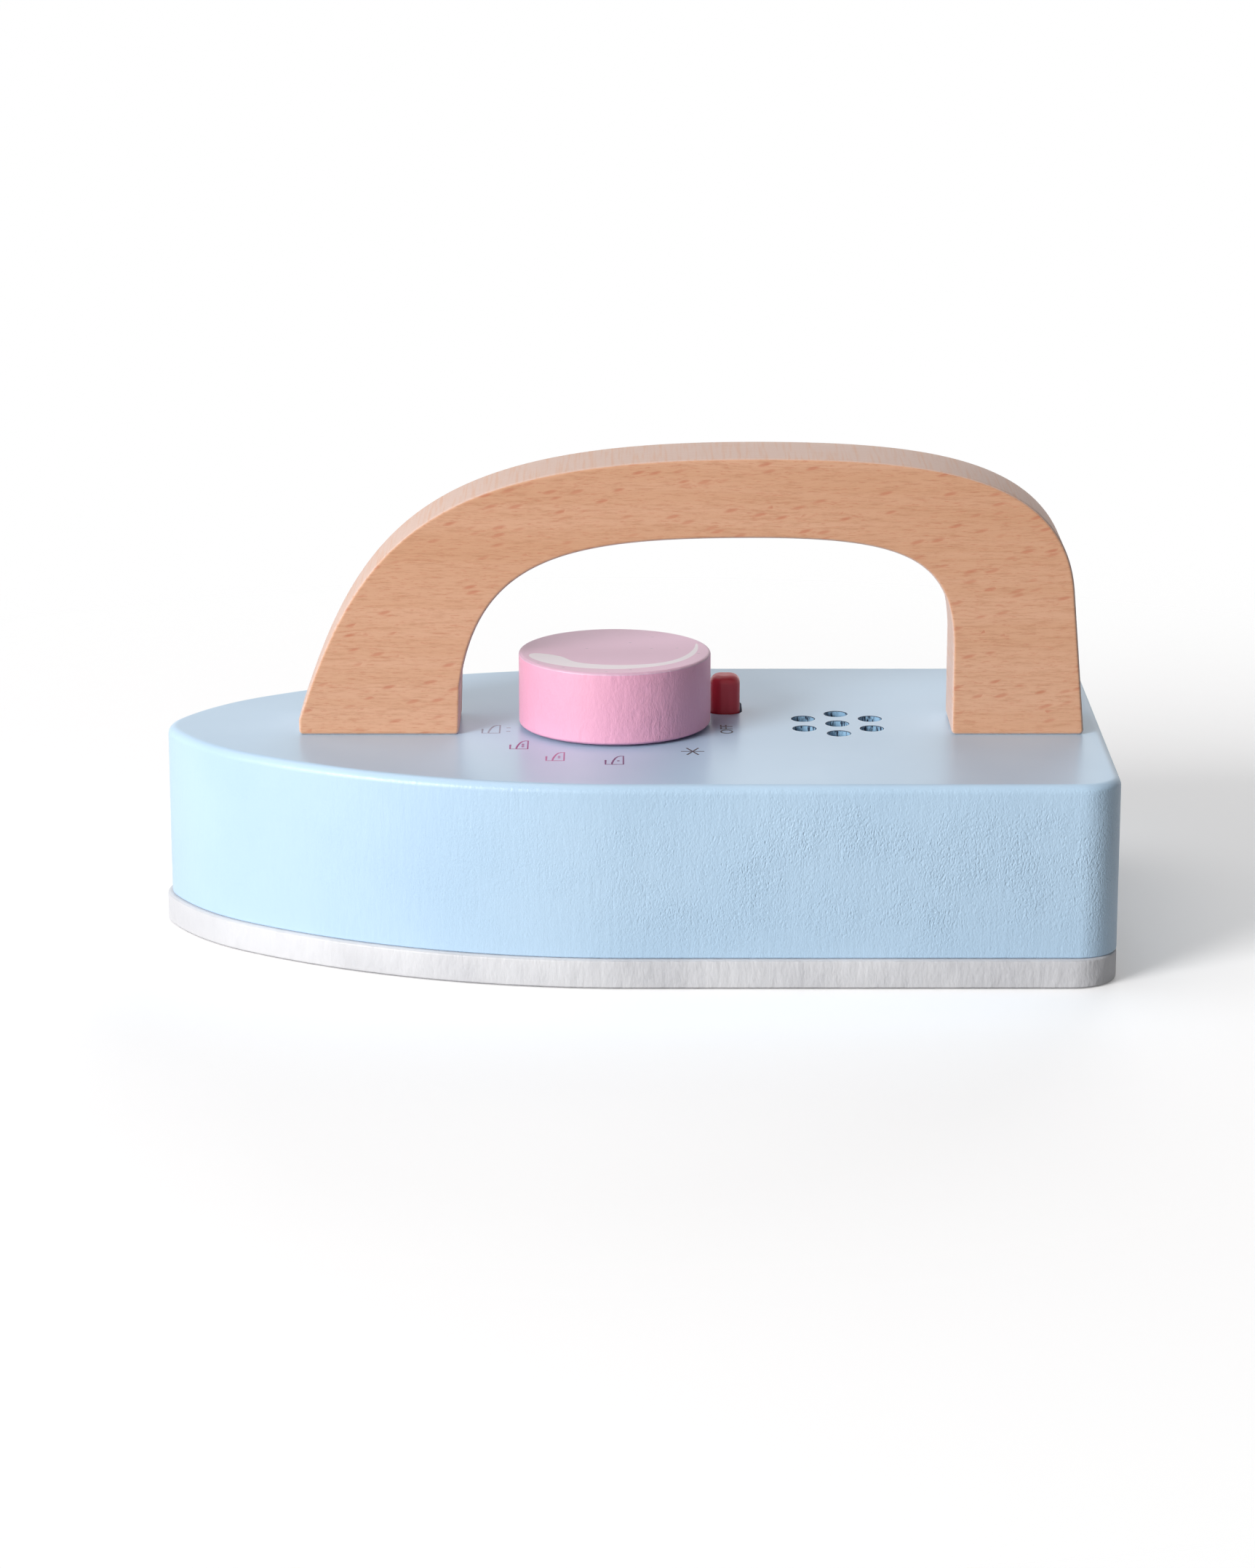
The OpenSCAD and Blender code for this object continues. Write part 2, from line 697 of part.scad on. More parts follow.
module switch_terminals() {
    color("#c8b273") for (y = terminal_ys) translate([switch_x, y, board_z - terminal_tail]) {
        cylinder(d = terminal_d, h = terminal_tail + board_t + switch_base_t);
        translate([0, 0, terminal_tail + board_t + switch_base_t])
            cylinder(d = terminal_head_d, h = terminal_head_h);
    }
}

module circuit_board() {
    color("#2f6b45") difference() {
        translate([board_x0, -board_l / 2, board_z]) cube([board_w, board_l, board_t]);
        at_places(board_screw_places, board_z - cut)
            cylinder(d = board_screw_d + 2 * snug, h = board_t + 2 * cut);
        for (y = terminal_ys) translate([switch_x, y, board_z - cut])
            cylinder(d = terminal_d + 2 * snug, h = board_t + 2 * cut);
    }
}

module board_spacers() {
    color("whitesmoke") at_places(board_screw_places, board_top_z)
        ring(spacer_d, board_screw_d + 2 * snug, can_h);
}

module board_screws() {
    color("silver") at_places(board_screw_places, board_z)
        pan_screw(board_screw_d, board_t + can_h + board_grip, board_head_d, board_head_h);
}

module sound_chip() {
    dome_r = (chip_d * chip_d / 4 + chip_h * chip_h) / (2 * chip_h);
    color("#1c1c1e") translate([board_x0 + chip_x_share * board_w, chip_y_share * board_l, board_z])
        mirror([0, 0, 1]) rotate_extrude() intersection() {
            translate([0, chip_h - dome_r]) circle(dome_r);
            square([chip_d, chip_h]);
        }
}

module capacitor() {
    color("#27324f")
        translate([board_x0 + capacitor_x_share * board_w - capacitor_l / 2, capacitor_y_share * board_l,
                   board_z - snug - capacitor_d / 2])
            rotate([0, 90, 0]) turned_disc(capacitor_d, capacitor_l, capacitor_rim_r);
}

module resistors() {
    color("#c9b48a") for (share = resistor_y_shares)
        translate([board_x0 + resistor_x_share * board_w - resistor_l / 2, share * board_l,
                   board_z - snug - resistor_d / 2])
            rotate([0, 90, 0]) turned_disc(resistor_d, resistor_l, resistor_d / 4);
}

module speaker_gasket() {
    color("#3a3a3c") translate([grille_x, 0, ceiling_z - gasket_t])
        ring(speaker_d, speaker_d - 2 * flange_w, gasket_t);
}

// Film diaphragm with its clamped rim, cone, dome and voice coil
module speaker_cone() {
    rim_r = speaker_d / 2;
    cone_r = rim_r - flange_w;
    coil_r = coil_r_share * rim_r;
    neck_z = rim_t - cone_drop_share * basket_h;
    color("#d9d7cf") translate([grille_x, 0, flange_z]) rotate_extrude() {
        polygon([[rim_r, 0], [rim_r, rim_t], [cone_r, rim_t], [coil_r, neck_z], [0, neck_z + dome_rise],
                 [0, neck_z + dome_rise - cone_t], [coil_r - coil_t, neck_z - cone_t],
                 [coil_r - coil_t, neck_z - coil_h], [coil_r, neck_z - coil_h],
                 [coil_r, neck_z - cone_t], [cone_r, 0]]);
    }
}

// Pressed steel basket with windows in its slope
module speaker_frame() {
    rim_r = speaker_d / 2;
    slope_r = rim_r - flange_w;
    floor_r = basket_r_share * rim_r;
    hole_r = coil_r_share * rim_r - coil_t - coil_gap;
    window_w = window_share * speaker_d;
    floor_z = basket_wall - basket_h;
    color("#8f9398") translate([grille_x, 0, flange_z]) difference() {
        rotate_extrude()
            polygon([[rim_r, 0], [rim_r, -flange_t], [slope_r + basket_wall, -flange_t],
                     [floor_r, -basket_h], [hole_r, -basket_h], [hole_r, floor_z],
                     [floor_r - basket_wall, floor_z], [slope_r + cone_play, 0]]);
        for (i = [0:basket_windows - 1]) rotate(i * 360 / basket_windows)
            translate([floor_r, -window_w / 2, floor_z])
                cube([flange_w, window_w, basket_h - basket_wall - flange_t]);
    }
}

module speaker_magnet() {
    pole_r = coil_r_share * speaker_d / 2 - coil_t - pole_gap;
    color("#6f7276") translate([grille_x, 0, flange_z - basket_h]) {
        translate([0, 0, -magnet_h]) cylinder(d = magnet_d, h = magnet_h);
        cylinder(r = pole_r, h = basket_wall + pole_gap);
    }
}

module speaker_leads() {
    tag_r = speaker_tag_share * speaker_d / 2;
    color("#8e2f2f") for (i = [0, 1]) {
        start = [speaker_pad_x, speaker_pad_y_shares[i] * board_l, lead_board_z];
        end = [grille_x + tag_r * cos(speaker_tag_angles[i]), tag_r * sin(speaker_tag_angles[i]),
               flange_z - basket_h - snug];
        lead(start, -lead_d, end, -lead_d);
    }
}

module battery_box() {
    color("#e9e7e2") {
        difference() {
            union() {
                translate([box_x, 0, door_z]) linear_extrude(box_top_z - door_z)
                    rounded_rect(box_l, box_w, box_r);
                translate([box_x, 0, sole_t]) linear_extrude(box_flange_t)
                    rounded_rect(box_l, box_w + 2 * box_flange_w, box_flange_r);
            }
            translate([cavity_x0, -cavity_w / 2, door_z - cut])
                cube([cavity_l, cavity_w, cavity_top_z - door_z + cut]);
            translate([box_x, 0, door_z - cut]) linear_extrude(door_t + snug + cut)
                rounded_rect(door_l + 2 * loose, door_w + 2 * loose, door_r + loose);
            translate([box_x0 - cut, -door_tab_w / 2 - loose, door_z + (1 - door_tab_share) * door_t - snug])
                cube([box_wall + 2 * cut, door_tab_w + 2 * loose, door_tab_share * door_t + 2 * snug]);
            for (side = [-1, 1]) translate([box_x0 - cut, side * lane_y - tag_w / 2 - loose, tag_z - loose])
                cube([box_wall + 2 * cut, tag_w + 2 * loose, plate_t + 2 * loose]);
            translate([door_screw_x, 0, door_z])
                cylinder(d = door_screw_d + 2 * snug, h = door_t + door_screw_grip + loose);
            at_places(box_screw_places, sole_t - cut)
                cylinder(d = box_screw_d + 2 * snug, h = box_flange_t + 2 * cut);
        }
        translate([cavity_x0 + plate_t + loose, -divider_t / 2, door_seat_z + loose])
            cube([cavity_l - 2 * plate_t - 2 * loose, divider_t, cavity_top_z - door_seat_z]);
    }
}

module battery_door() {
    groove_l = door_groove_l_share * door_w;
    color("#efede8") {
        difference() {
            translate([box_x, 0, door_z]) linear_extrude(door_t) rounded_rect(door_l, door_w, door_r);
            translate([door_screw_x, 0, door_z])
                sunk_hole(door_screw_d + 2 * snug, door_screw_head_d + 2 * snug,
                          door_screw_head_h, door_t + cut);
            for (i = [1:door_grooves])
                translate([cavity_x1 - i * door_groove_pitch, -groove_l / 2, door_z - cut])
                    cube([door_groove_w, groove_l, door_groove_share * door_t + cut]);
        }
        translate([box_x - door_l / 2 - door_tab_l, -door_tab_w / 2, door_z + (1 - door_tab_share) * door_t])
            cube([door_tab_l + box_wall, door_tab_w, door_tab_share * door_t]);
    }
}

module door_screw() {
    color("silver") translate([door_screw_x, 0, door_z])
        sunk_screw(door_screw_d, door_t + door_screw_grip, door_screw_head_d, door_screw_head_h);
}

module box_screws() {
    color("silver") at_places(box_screw_places, sole_t + box_flange_t) mirror([0, 0, 1])
        pan_screw(box_screw_d, box_flange_t + box_screw_grip, box_screw_head_d, box_screw_head_h);
}

// Cell along +X with its button at the far end
module cell() {
    rotate([0, 90, 0]) {
        turned_disc(cell_d, cell_l - button_h, cell_edge_r);
        cylinder(d = button_d, h = cell_l);
    }
}

module battery_cells() {
    start = cavity_x0 + plate_t + 2 * snug;
    color("#b9a24a") {
        translate([start + cell_l, lane_y, cell_z]) mirror([1, 0, 0]) cell();
        translate([cavity_x1 - plate_t - 2 * snug - cell_l, -lane_y, cell_z]) cell();
    }
}

// Coil from the contact plate towards the cell
function spring_path(length) =
    let(steps = spring_turns * spring_rings, low = spring_wire_d / 2 + snug)
    [for (i = [0:steps]) let(a = 360 * i / spring_rings)
        [low + (length - 2 * low) * i / steps, spring_r * cos(a), spring_r * sin(a)]];

module spring() {
    tube(spring_path(spring_l), spring_wire_d, spring_sides, [1, 0, 0]);
}

module battery_springs() {
    color("#b9bcc0") {
        translate([cavity_x0 + plate_t + snug, -lane_y, cell_z]) spring();
        translate([cavity_x1 - plate_t - snug, lane_y, cell_z]) mirror([1, 0, 0]) spring();
    }
}

module contact_plates() {
    bridge_w = 2 * lane_y + plate_w;
    color("#cfc9b4") {
        for (side = [-1, 1]) translate([cavity_x0 + snug, side * lane_y, 0]) {
            translate([0, -plate_w / 2, cell_z - plate_h / 2]) cube([plate_t, plate_w, plate_h]);
            translate([-box_wall - tag_l, -tag_w / 2, tag_z])
                cube([box_wall + tag_l + plate_t, tag_w, plate_t]);
        }
        translate([cavity_x1 - plate_t - snug, -bridge_w / 2, cell_z - plate_h / 2])
            cube([plate_t, bridge_w, plate_h]);
    }
}

module battery_leads() {
    color("#2a2a2c") for (side = [-1, 1]) {
        start = [box_x0 - tag_l / 2, side * lane_y, tag_z + plate_t + snug];
        end = [battery_pad_x, side * lane_y, lead_board_z];
        lead(start, box_top_z + lead_d - start[2], end, -lead_d);
    }
}

body_block();
sole_plate();
handle();
handle_screws();
sole_screws();
dial_knob();
dial_spindle();
dial_washer();
glide_washer();
switch_cap();
switch_lever();
switch_contact();
switch_can();
switch_base();
switch_terminals();
circuit_board();
board_spacers();
board_screws();
sound_chip();
capacitor();
resistors();
speaker_gasket();
speaker_cone();
speaker_frame();
speaker_magnet();
speaker_leads();
battery_box();
battery_door();
door_screw();
box_screws();
battery_cells();
battery_springs();
contact_plates();
battery_leads();
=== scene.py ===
"""Looks of a wooden toy iron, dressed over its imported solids.

Sizes are in millimetres in the iron's own frame: +X runs from the nose to the heel, +Z is up and
the origin lies under the middle of the sole.
"""
from __future__ import annotations

import json
import logging
import math
from dataclasses import dataclass, field
from enum import Enum, IntEnum
from typing import Callable, Sequence

import bmesh
import bpy
from mathutils import Matrix, Vector
from mathutils.geometry import tessellate_polygon

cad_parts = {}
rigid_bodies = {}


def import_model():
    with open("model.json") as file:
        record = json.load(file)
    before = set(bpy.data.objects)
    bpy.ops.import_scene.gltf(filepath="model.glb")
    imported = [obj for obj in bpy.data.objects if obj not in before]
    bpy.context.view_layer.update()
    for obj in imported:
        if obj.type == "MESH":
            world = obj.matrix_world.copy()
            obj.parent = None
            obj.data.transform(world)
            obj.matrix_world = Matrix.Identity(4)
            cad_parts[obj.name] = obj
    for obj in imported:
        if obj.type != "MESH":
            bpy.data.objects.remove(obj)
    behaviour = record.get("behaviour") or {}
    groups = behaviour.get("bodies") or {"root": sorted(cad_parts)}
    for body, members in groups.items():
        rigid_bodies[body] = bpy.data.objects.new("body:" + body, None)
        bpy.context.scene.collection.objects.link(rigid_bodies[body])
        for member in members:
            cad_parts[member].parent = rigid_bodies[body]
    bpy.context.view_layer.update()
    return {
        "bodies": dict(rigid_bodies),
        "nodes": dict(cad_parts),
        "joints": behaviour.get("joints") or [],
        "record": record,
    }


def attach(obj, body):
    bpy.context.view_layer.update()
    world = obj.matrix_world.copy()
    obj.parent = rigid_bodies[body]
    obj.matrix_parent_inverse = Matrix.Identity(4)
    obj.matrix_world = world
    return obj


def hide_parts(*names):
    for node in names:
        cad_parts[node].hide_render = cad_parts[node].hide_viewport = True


LOG = logging.getLogger("toy_iron")
MM = 0.001
SHARP_ANGLE = math.radians(34.0)
MERGE_DISTANCE = 1e-7
WHITE = (1.0, 1.0, 1.0, 1.0)
FULL_TURN, HALF_TURN, QUARTER_TURN = 360.0, 180.0, 90.0

# Curve of display colours
SRGB_LEVELS = 255.0
SRGB_KNEE, SRGB_SLOPE = 0.04045, 12.92
SRGB_LIFT, SRGB_POWER = 0.055, 2.4

Point = tuple[float, float]
Point3 = tuple[float, float, float]
Span = tuple[float, float]
Step = tuple[float, float, float, float]
Colour = tuple[float, float, float]
Loop = list[Point]
Ring = list[int]
Node = bpy.types.Node
Socket = bpy.types.NodeSocket
Sockets = dict[str, Socket]


def srgb(red: int, green: int, blue: int) -> Colour:
    """Linear colour of an 8-bit display colour.

    Args:
        red: Red, 0 to 255.
        green: Green, 0 to 255.
        blue: Blue, 0 to 255.

    Returns:
        The three linear values.
    """

    def linear(value: int) -> float:
        """Linear value of one channel.

        Args:
            value: The channel, 0 to 255.

        Returns:
            Its linear value.
        """
        share = value / SRGB_LEVELS
        if share <= SRGB_KNEE:
            return share / SRGB_SLOPE
        return ((share + SRGB_LIFT) / (1.0 + SRGB_LIFT)) ** SRGB_POWER

    return linear(red), linear(green), linear(blue)


class Outline:
    """Plane curves that the pieces are drawn with."""

    @staticmethod
    def arc(centre: Point, radius: float, start: float, end: float, steps: int, skip: int = 0) -> Loop:
        """Points on an arc.

        Args:
            centre: Centre of the arc.
            radius: Its radius.
            start: First angle in degrees.
            end: Last angle in degrees.
            steps: Number of steps.
            skip: Points left out at the start.

        Returns:
            The points in order.
        """
        angles = [math.radians(start + (end - start) * i / steps) for i in range(skip, steps + 1)]
        return [(centre[0] + radius * math.cos(a), centre[1] + radius * math.sin(a)) for a in angles]

    @staticmethod
    def circle(centre: Point, radius: float, steps: int) -> Loop:
        """Points once round a circle, anticlockwise."""
        return Outline.arc(centre, radius, 0.0, FULL_TURN, steps, 1)

    @staticmethod
    def rounded_rect(centre: Point, length: float, width: float, radius: float, steps: int) -> Loop:
        """Rectangle with round corners, anticlockwise.

        Args:
            centre: Middle of the rectangle.
            length: Size along x.
            width: Size along y.
            radius: Corner radius.
            steps: Steps per corner.

        Returns:
            The points in order.
        """
        loop: Loop = []
        for quarter in range(4):
            start = QUARTER_TURN * quarter
            turn = math.radians(start + QUARTER_TURN / 2)
            corner = (centre[0] + math.copysign(length / 2 - radius, math.cos(turn)),
                      centre[1] + math.copysign(width / 2 - radius, math.sin(turn)))
            loop += Outline.arc(corner, radius, start, start + QUARTER_TURN, steps)
        return loop

    @staticmethod
    def bezier(points: Sequence[Point], steps: int, skip: int = 0) -> Loop:
        """Points on a cubic curve.

        Args:
            points: The four control points.
            steps: Number of steps.
            skip: Points left out at the start.

        Returns:
            The points in order.
        """
        loop: Loop = []
        for i in range(skip, steps + 1):
            t = i / steps
            s = 1.0 - t
            shares = (s * s * s, 3 * s * s * t, 3 * s * t * t, t * t * t)
            loop.append((sum(w * p[0] for w, p in zip(shares, points)),
                         sum(w * p[1] for w, p in zip(shares, points))))
        return loop

    @staticmethod
    def fillet(before: Point, corner: Point, after: Point, radius: float, steps: int) -> Loop:
        """Round corner between two straight edges.

        Args:
            before: A point on the edge that comes in.
            corner: The sharp corner.
            after: A point on the edge that goes out.
            radius: Radius of the rounding.
            steps: Number of steps.

        Returns:
            The points in order.
        """
        tip = Vector(corner)
        u = (Vector(before) - tip).normalized()
        v = (Vector(after) - tip).normalized()
        half = u.angle(v) / 2
        centre = tip + (u + v).normalized() * radius / math.sin(half)
        first = (tip + u * radius / math.tan(half) - centre).normalized()
        last = (tip + v * radius / math.tan(half) - centre).normalized()
        loop: Loop = []
        for i in range(steps + 1):
            point = centre + radius * first.lerp(last, i / steps).normalized()
            loop.append((point.x, point.y))
        return loop

    @staticmethod
    def drawn_in(loop: Loop, distance: float) -> Loop:
        """Clockwise loop moved inwards by a distance.

        Args:
            loop: The closed loop.
            distance: How far it is moved.

        Returns:
            The moved loop.
        """
        count = len(loop)
        moved: Loop = []
        for i, point in enumerate(loop):
            here = Vector(point)
            u = (here - Vector(loop[i - 1])).normalized()
            v = (Vector(loop[(i + 1) % count]) - here).normalized()
            a, b = Vector((u.y, -u.x)), Vector((v.y, -v.x))
            inner = here + distance * (a + b) / (1.0 + a.dot(b))
            moved.append((inner.x, inner.y))
        return moved

    @staticmethod
    def round_edge(radius: float, steps: int) -> Loop:
        """Inset and drop of a quarter-round edge, from the flat face to the side."""
        angles = [math.radians(QUARTER_TURN * i / steps) for i in range(steps + 1)]
        return [(radius * (1 - math.sin(a)), radius * (1 - math.cos(a))) for a in angles]

    @staticmethod
    def sides(low: float, high: float, radii: Span, steps: tuple[int, int], rim: float) -> Loop:
        """Inset and level of each ring up a side with rounded edges.

        Args:
            low: Level of the lower face.
            high: Level of the upper face.
            radii: Radius of the lower and of the upper edge.
            steps: Steps of the lower and of the upper edge.
            rim: Width of the flat ring that each face keeps inside its edge.

        Returns:
            The insets and levels from the lower face to the upper one.
        """
        foot = Outline.round_edge(radii[0], steps[0])
        crown = Outline.round_edge(radii[1], steps[1])
        rows = [(radii[0] + rim, low)]
        rows += [(inset, low + drop) for inset, drop in foot]
        rows += [(inset, high - drop) for inset, drop in reversed(crown)]
        return [*rows, (radii[1] + rim, high)]


class Solid:
    """Gathers the rings and faces of one closed piece, in millimetres."""

    def __init__(self, place: Callable[[float, float, float], Point3] | None = None) -> None:
        """Starts an empty solid.

        Args:
            place: Turns a ring's two coordinates and its level into a point; plain x, y, z if left out.
        """
        self.place = place or (lambda u, v, level: (u, v, level))
        self.flat: list[Point] = []
        self.points: list[Point3] = []
        self.faces: list[tuple[int, ...]] = []
        self.finishes: list[int] = []

    def ring(self, loop: Sequence[Point], level: float) -> Ring:
        """Adds a closed ring of points.

        Args:
            loop: The ring's points.
            level: Its level.

        Returns:
            The points' numbers.
        """
        first = len(self.points)
        self.flat += list(loop)
        self.points += [self.place(u, v, level) for u, v in loop]
        return list(range(first, len(self.points)))

    def face(self, corners: tuple[int, ...], finish: int = 0) -> None:
        """Adds one face with a finish number."""
        self.faces.append(corners)
        self.finishes.append(finish)

    def bands(self, rings: Sequence[Ring], finish: int = 0) -> None:
        """Joins each ring to the next with four-cornered faces.

        Args:
            rings: The rings in order.
            finish: Finish number of the faces.
        """
        for low, high in zip(rings, rings[1:]):
            count = len(low)
            for i in range(count):
                j = (i + 1) % count
                self.face((low[i], low[j], high[j], high[i]), finish)

    def fill(self, outer: Ring, holes: Sequence[Ring] = (), finish: int = 0) -> None:
        """Fills the flat between an outer ring and the rings of its holes.

        Args:
            outer: The outer ring.
            holes: The rings of its holes.
            finish: Finish number of the faces.
        """
        rings = [outer, *holes]
        order = [number for one in rings for number in one]
        loops = [[Vector((*self.flat[number], 0.0)) for number in one] for one in rings]
        for corners in tessellate_polygon(loops):
            self.face(tuple(order[c] for c in corners), finish)

    def strip(self, ring: Ring, finish: int = 0) -> None:
        """Fills a ring with faces from its first half across to its second half.

        Args:
            ring: The ring.
            finish: Finish number of the faces.
        """
        count = len(ring)
        for i in range(count // 2 - 1):
            self.face((ring[i], ring[i + 1], ring[count - 2 - i], ring[count - 1 - i]), finish)

    def walls(self, loop: Sequence[Point], levels: Sequence[float], finish: int = 0) -> list[Ring]:
        """Stands the same ring at each level and joins them.

        Args:
            loop: The ring's points.
            levels: Its levels in order.
            finish: Finish number of the faces.

        Returns:
            The rings in order.
        """
        rings = [self.ring(loop, level) for level in levels]
        self.bands(rings, finish)
        return rings

    def bore(self, place: Point, rows: Sequence[Point], steps: int, finish: int = 0) -> list[Ring]:
        """Drills a round hole.

        Args:
            place: Its axis.
            rows: Radius and level of each ring, from one end to the other.
            steps: Steps round it.
            finish: Finish number of its wall.

        Returns:
            The rings in order.
        """
        rings = [self.ring(Outline.circle(place, radius, steps), level) for radius, level in rows]
        self.bands(rings, finish)
        return rings

    def lathe(self, profile: Sequence[Point], centre: Point, steps: int, finish: int = 0) -> None:
        """Turns a profile of radius and height that starts and ends on the axis.

        Args:
            profile: Radius and height of each ring.
            centre: Place of the axis.
            steps: Steps round it.
            finish: Finish number of the faces.
        """
        rings = [self.ring(Outline.circle(centre, radius, steps), z) for radius, z in profile[1:-1]]
        self.bands(rings, finish)
        for tip, ring in ((profile[0], rings[0]), (profile[-1], rings[-1])):
            pole = self.ring([centre], tip[1])[0]
            for i in range(steps):
                self.face((pole, ring[i], ring[(i + 1) % steps]), finish)

    def to_object(self, name: str, materials: Sequence[bpy.types.Material]) -> bpy.types.Object:
        """Makes the mesh object.

        Args:
            name: Name of the piece.
            materials: One material for each finish number.

        Returns:
            The linked object, with its place in its mesh.
        """
        mesh = bpy.data.meshes.new(name)
        mesh.from_pydata([tuple(c * MM for c in p) for p in self.points], [], self.faces)
        for material in materials:
            mesh.materials.append(material)
        mesh.polygons.foreach_set("material_index", self.finishes)
        close_mesh(mesh)
        return link_mesh(name, mesh)


def close_mesh(mesh: bpy.types.Mesh) -> None:
    """Merges a mesh's doubled points and turns its faces outwards.

    Args:
        mesh: The mesh, which is changed in place.
    """
    work = bmesh.new()
    work.from_mesh(mesh)
    bmesh.ops.remove_doubles(work, verts=work.verts, dist=MERGE_DISTANCE)
    bmesh.ops.recalc_face_normals(work, faces=work.faces)
    work.to_mesh(mesh)
    work.free()


def link_mesh(name: str, mesh: bpy.types.Mesh) -> bpy.types.Object:
    """Shades a mesh smooth between its sharp edges and links it as an object.

    Args:
        name: Name of the piece.
        mesh: Its finished mesh.

    Returns:
        The linked object.
    """
    mesh.polygons.foreach_set("use_smooth", [True] * len(mesh.polygons))
    mesh.set_sharp_from_angle(angle=SHARP_ANGLE)
    made = bpy.data.objects.new(name, mesh)
    bpy.context.scene.collection.objects.link(made)
    return made


def plain_mesh(source: bpy.types.Object) -> bpy.types.Mesh:
    """Turns an unlinked object into a plain mesh and removes it.

    Args:
        source: A guide with its modifier, or a text.

    Returns:
        Its evaluated mesh.
    """
    bpy.context.scene.collection.objects.link(source)
    bpy.context.view_layer.update()
    depsgraph = bpy.context.evaluated_depsgraph_get()
    mesh = bpy.data.meshes.new_from_object(source.evaluated_get(depsgraph), depsgraph=depsgraph)
    source.modifiers.clear()
    bpy.data.objects.remove(source)
    return mesh


class Graph:
    """Short forms for wiring one node tree."""

    def __init__(self, tree: bpy.types.NodeTree) -> None:
        """Takes the tree that is wired."""
        self.tree = tree

    def node(self, kind: str, **settings: object) -> Node:
        """Adds a node and sets its properties.

        Args:
            kind: Node type.
            settings: Node properties.

        Returns:
            The node.
        """
        made = self.tree.nodes.new(kind)
        for name, value in settings.items():
            setattr(made, name, value)
        return made

    def feed(self, socket: Socket, value: object) -> None:
        """Links a socket into another one, or sets a plain value on it.

        Args:
            socket: The input that is fed.
            value: A socket or a plain value.
        """
        if isinstance(value, Socket):
            self.tree.links.new(value, socket)
        else:
            socket.default_value = value

    def wire(self, kind: str, inputs: dict[str | int, object], output: str | int = 0,
             **settings: object) -> Socket:
        """Adds a node, feeds its inputs and returns one output.

        Args:
            kind: Node type.
            inputs: Values or sockets by input name or number.
            output: Name or number of the output.
            settings: Node properties.

        Returns:
            The output socket.
        """
        made = self.node(kind, **settings)
        for name, value in inputs.items():
            self.feed(made.inputs[name], value)
        return made.outputs[output]

    def math(self, operation: str, a: object, b: object = 0.0) -> Socket:
        """Arithmetic on two values."""
        return self.wire("ShaderNodeMath", {0: a, 1: b}, operation=operation)

    def product(self, a: object, b: object) -> Socket:
        """One value times another."""
        return self.math("MULTIPLY", a, b)

    def half(self, value: object) -> Socket:
        """Half of a value."""
        return self.product(value, 0.5)

    def split(self, vector: object) -> bpy.types.NodeOutputs:
        """Takes a vector apart.

        Args:
            vector: The vector.

        Returns:
            The outputs X, Y and Z.
        """
        made = self.node("ShaderNodeSeparateXYZ")
        self.feed(made.inputs[0], vector)
        return made.outputs

    def scaled(self, vector: object, by: object) -> Socket:
        """A vector times another, axis by axis."""
        return self.wire("ShaderNodeVectorMath", {0: vector, 1: by}, operation="MULTIPLY")

    def length(self, vector: object) -> Socket:
        """Length of a vector."""
        return self.wire("ShaderNodeVectorMath", {0: vector}, "Value", operation="LENGTH")

    def noise(self, vector: object, scale: object, detail: float = 2.0, roughness: float = 0.5) -> Socket:
        """Soft noise from 0 to 1."""
        return self.wire("ShaderNodeTexNoise", {"Vector": vector, "Scale": scale, "Detail": detail,
                                                "Roughness": roughness})

    def streaks(self, vector: object, scale: Point3, detail: float, roughness: float = 0.5) -> Socket:
        """Soft noise with its own scale along each axis."""
        return self.noise(self.stretch(vector, scale), 1.0, detail, roughness)

    def cells(self, vector: object, scale: object = 1.0, **settings: object) -> bpy.types.NodeOutputs:
        """Adds a pattern of cells.

        Args:
            vector: Where the pattern is read.
            scale: Its scale.
            settings: Node properties.

        Returns:
            The outputs, among them Distance and Color.
        """
        made = self.node("ShaderNodeTexVoronoi", **settings)
        self.feed(made.inputs["Vector"], vector)
        self.feed(made.inputs["Scale"], scale)
        return made.outputs

    def stretch(self, vector: object, scale: Point3, shift: Point3 = (0.0, 0.0, 0.0),
                turn: Point3 = (0.0, 0.0, 0.0)) -> Socket:
        """Coordinates scaled, turned and moved."""
        return self.wire("ShaderNodeMapping", {"Vector": vector, "Location": shift, "Rotation": turn,
                                               "Scale": scale})

    def remap(self, value: object, low: float, high: float, to_low: float = 0.0,
              to_high: float = 1.0) -> Socket:
        """Smooth step of a value between two limits."""
        limits = {"From Min": low, "From Max": high, "To Min": to_low, "To Max": to_high}
        return self.wire("ShaderNodeMapRange", {"Value": value, **limits},
                         interpolation_type="SMOOTHSTEP")

    def mix(self, factor: object, first: object, second: object) -> Socket:
        """Mixes two colours.

        Args:
            factor: Share of the second colour.
            first: The first colour.
            second: The second colour.

        Returns:
            The mixed colour.
        """

        def opaque(value: object) -> object:
            """A plain colour with full alpha, or a socket as it is."""
            return (*value, 1.0) if isinstance(value, tuple) else value

        return self.wire("ShaderNodeMix", {0: factor, 6: opaque(first), 7: opaque(second)}, 2,
                         data_type="RGBA")


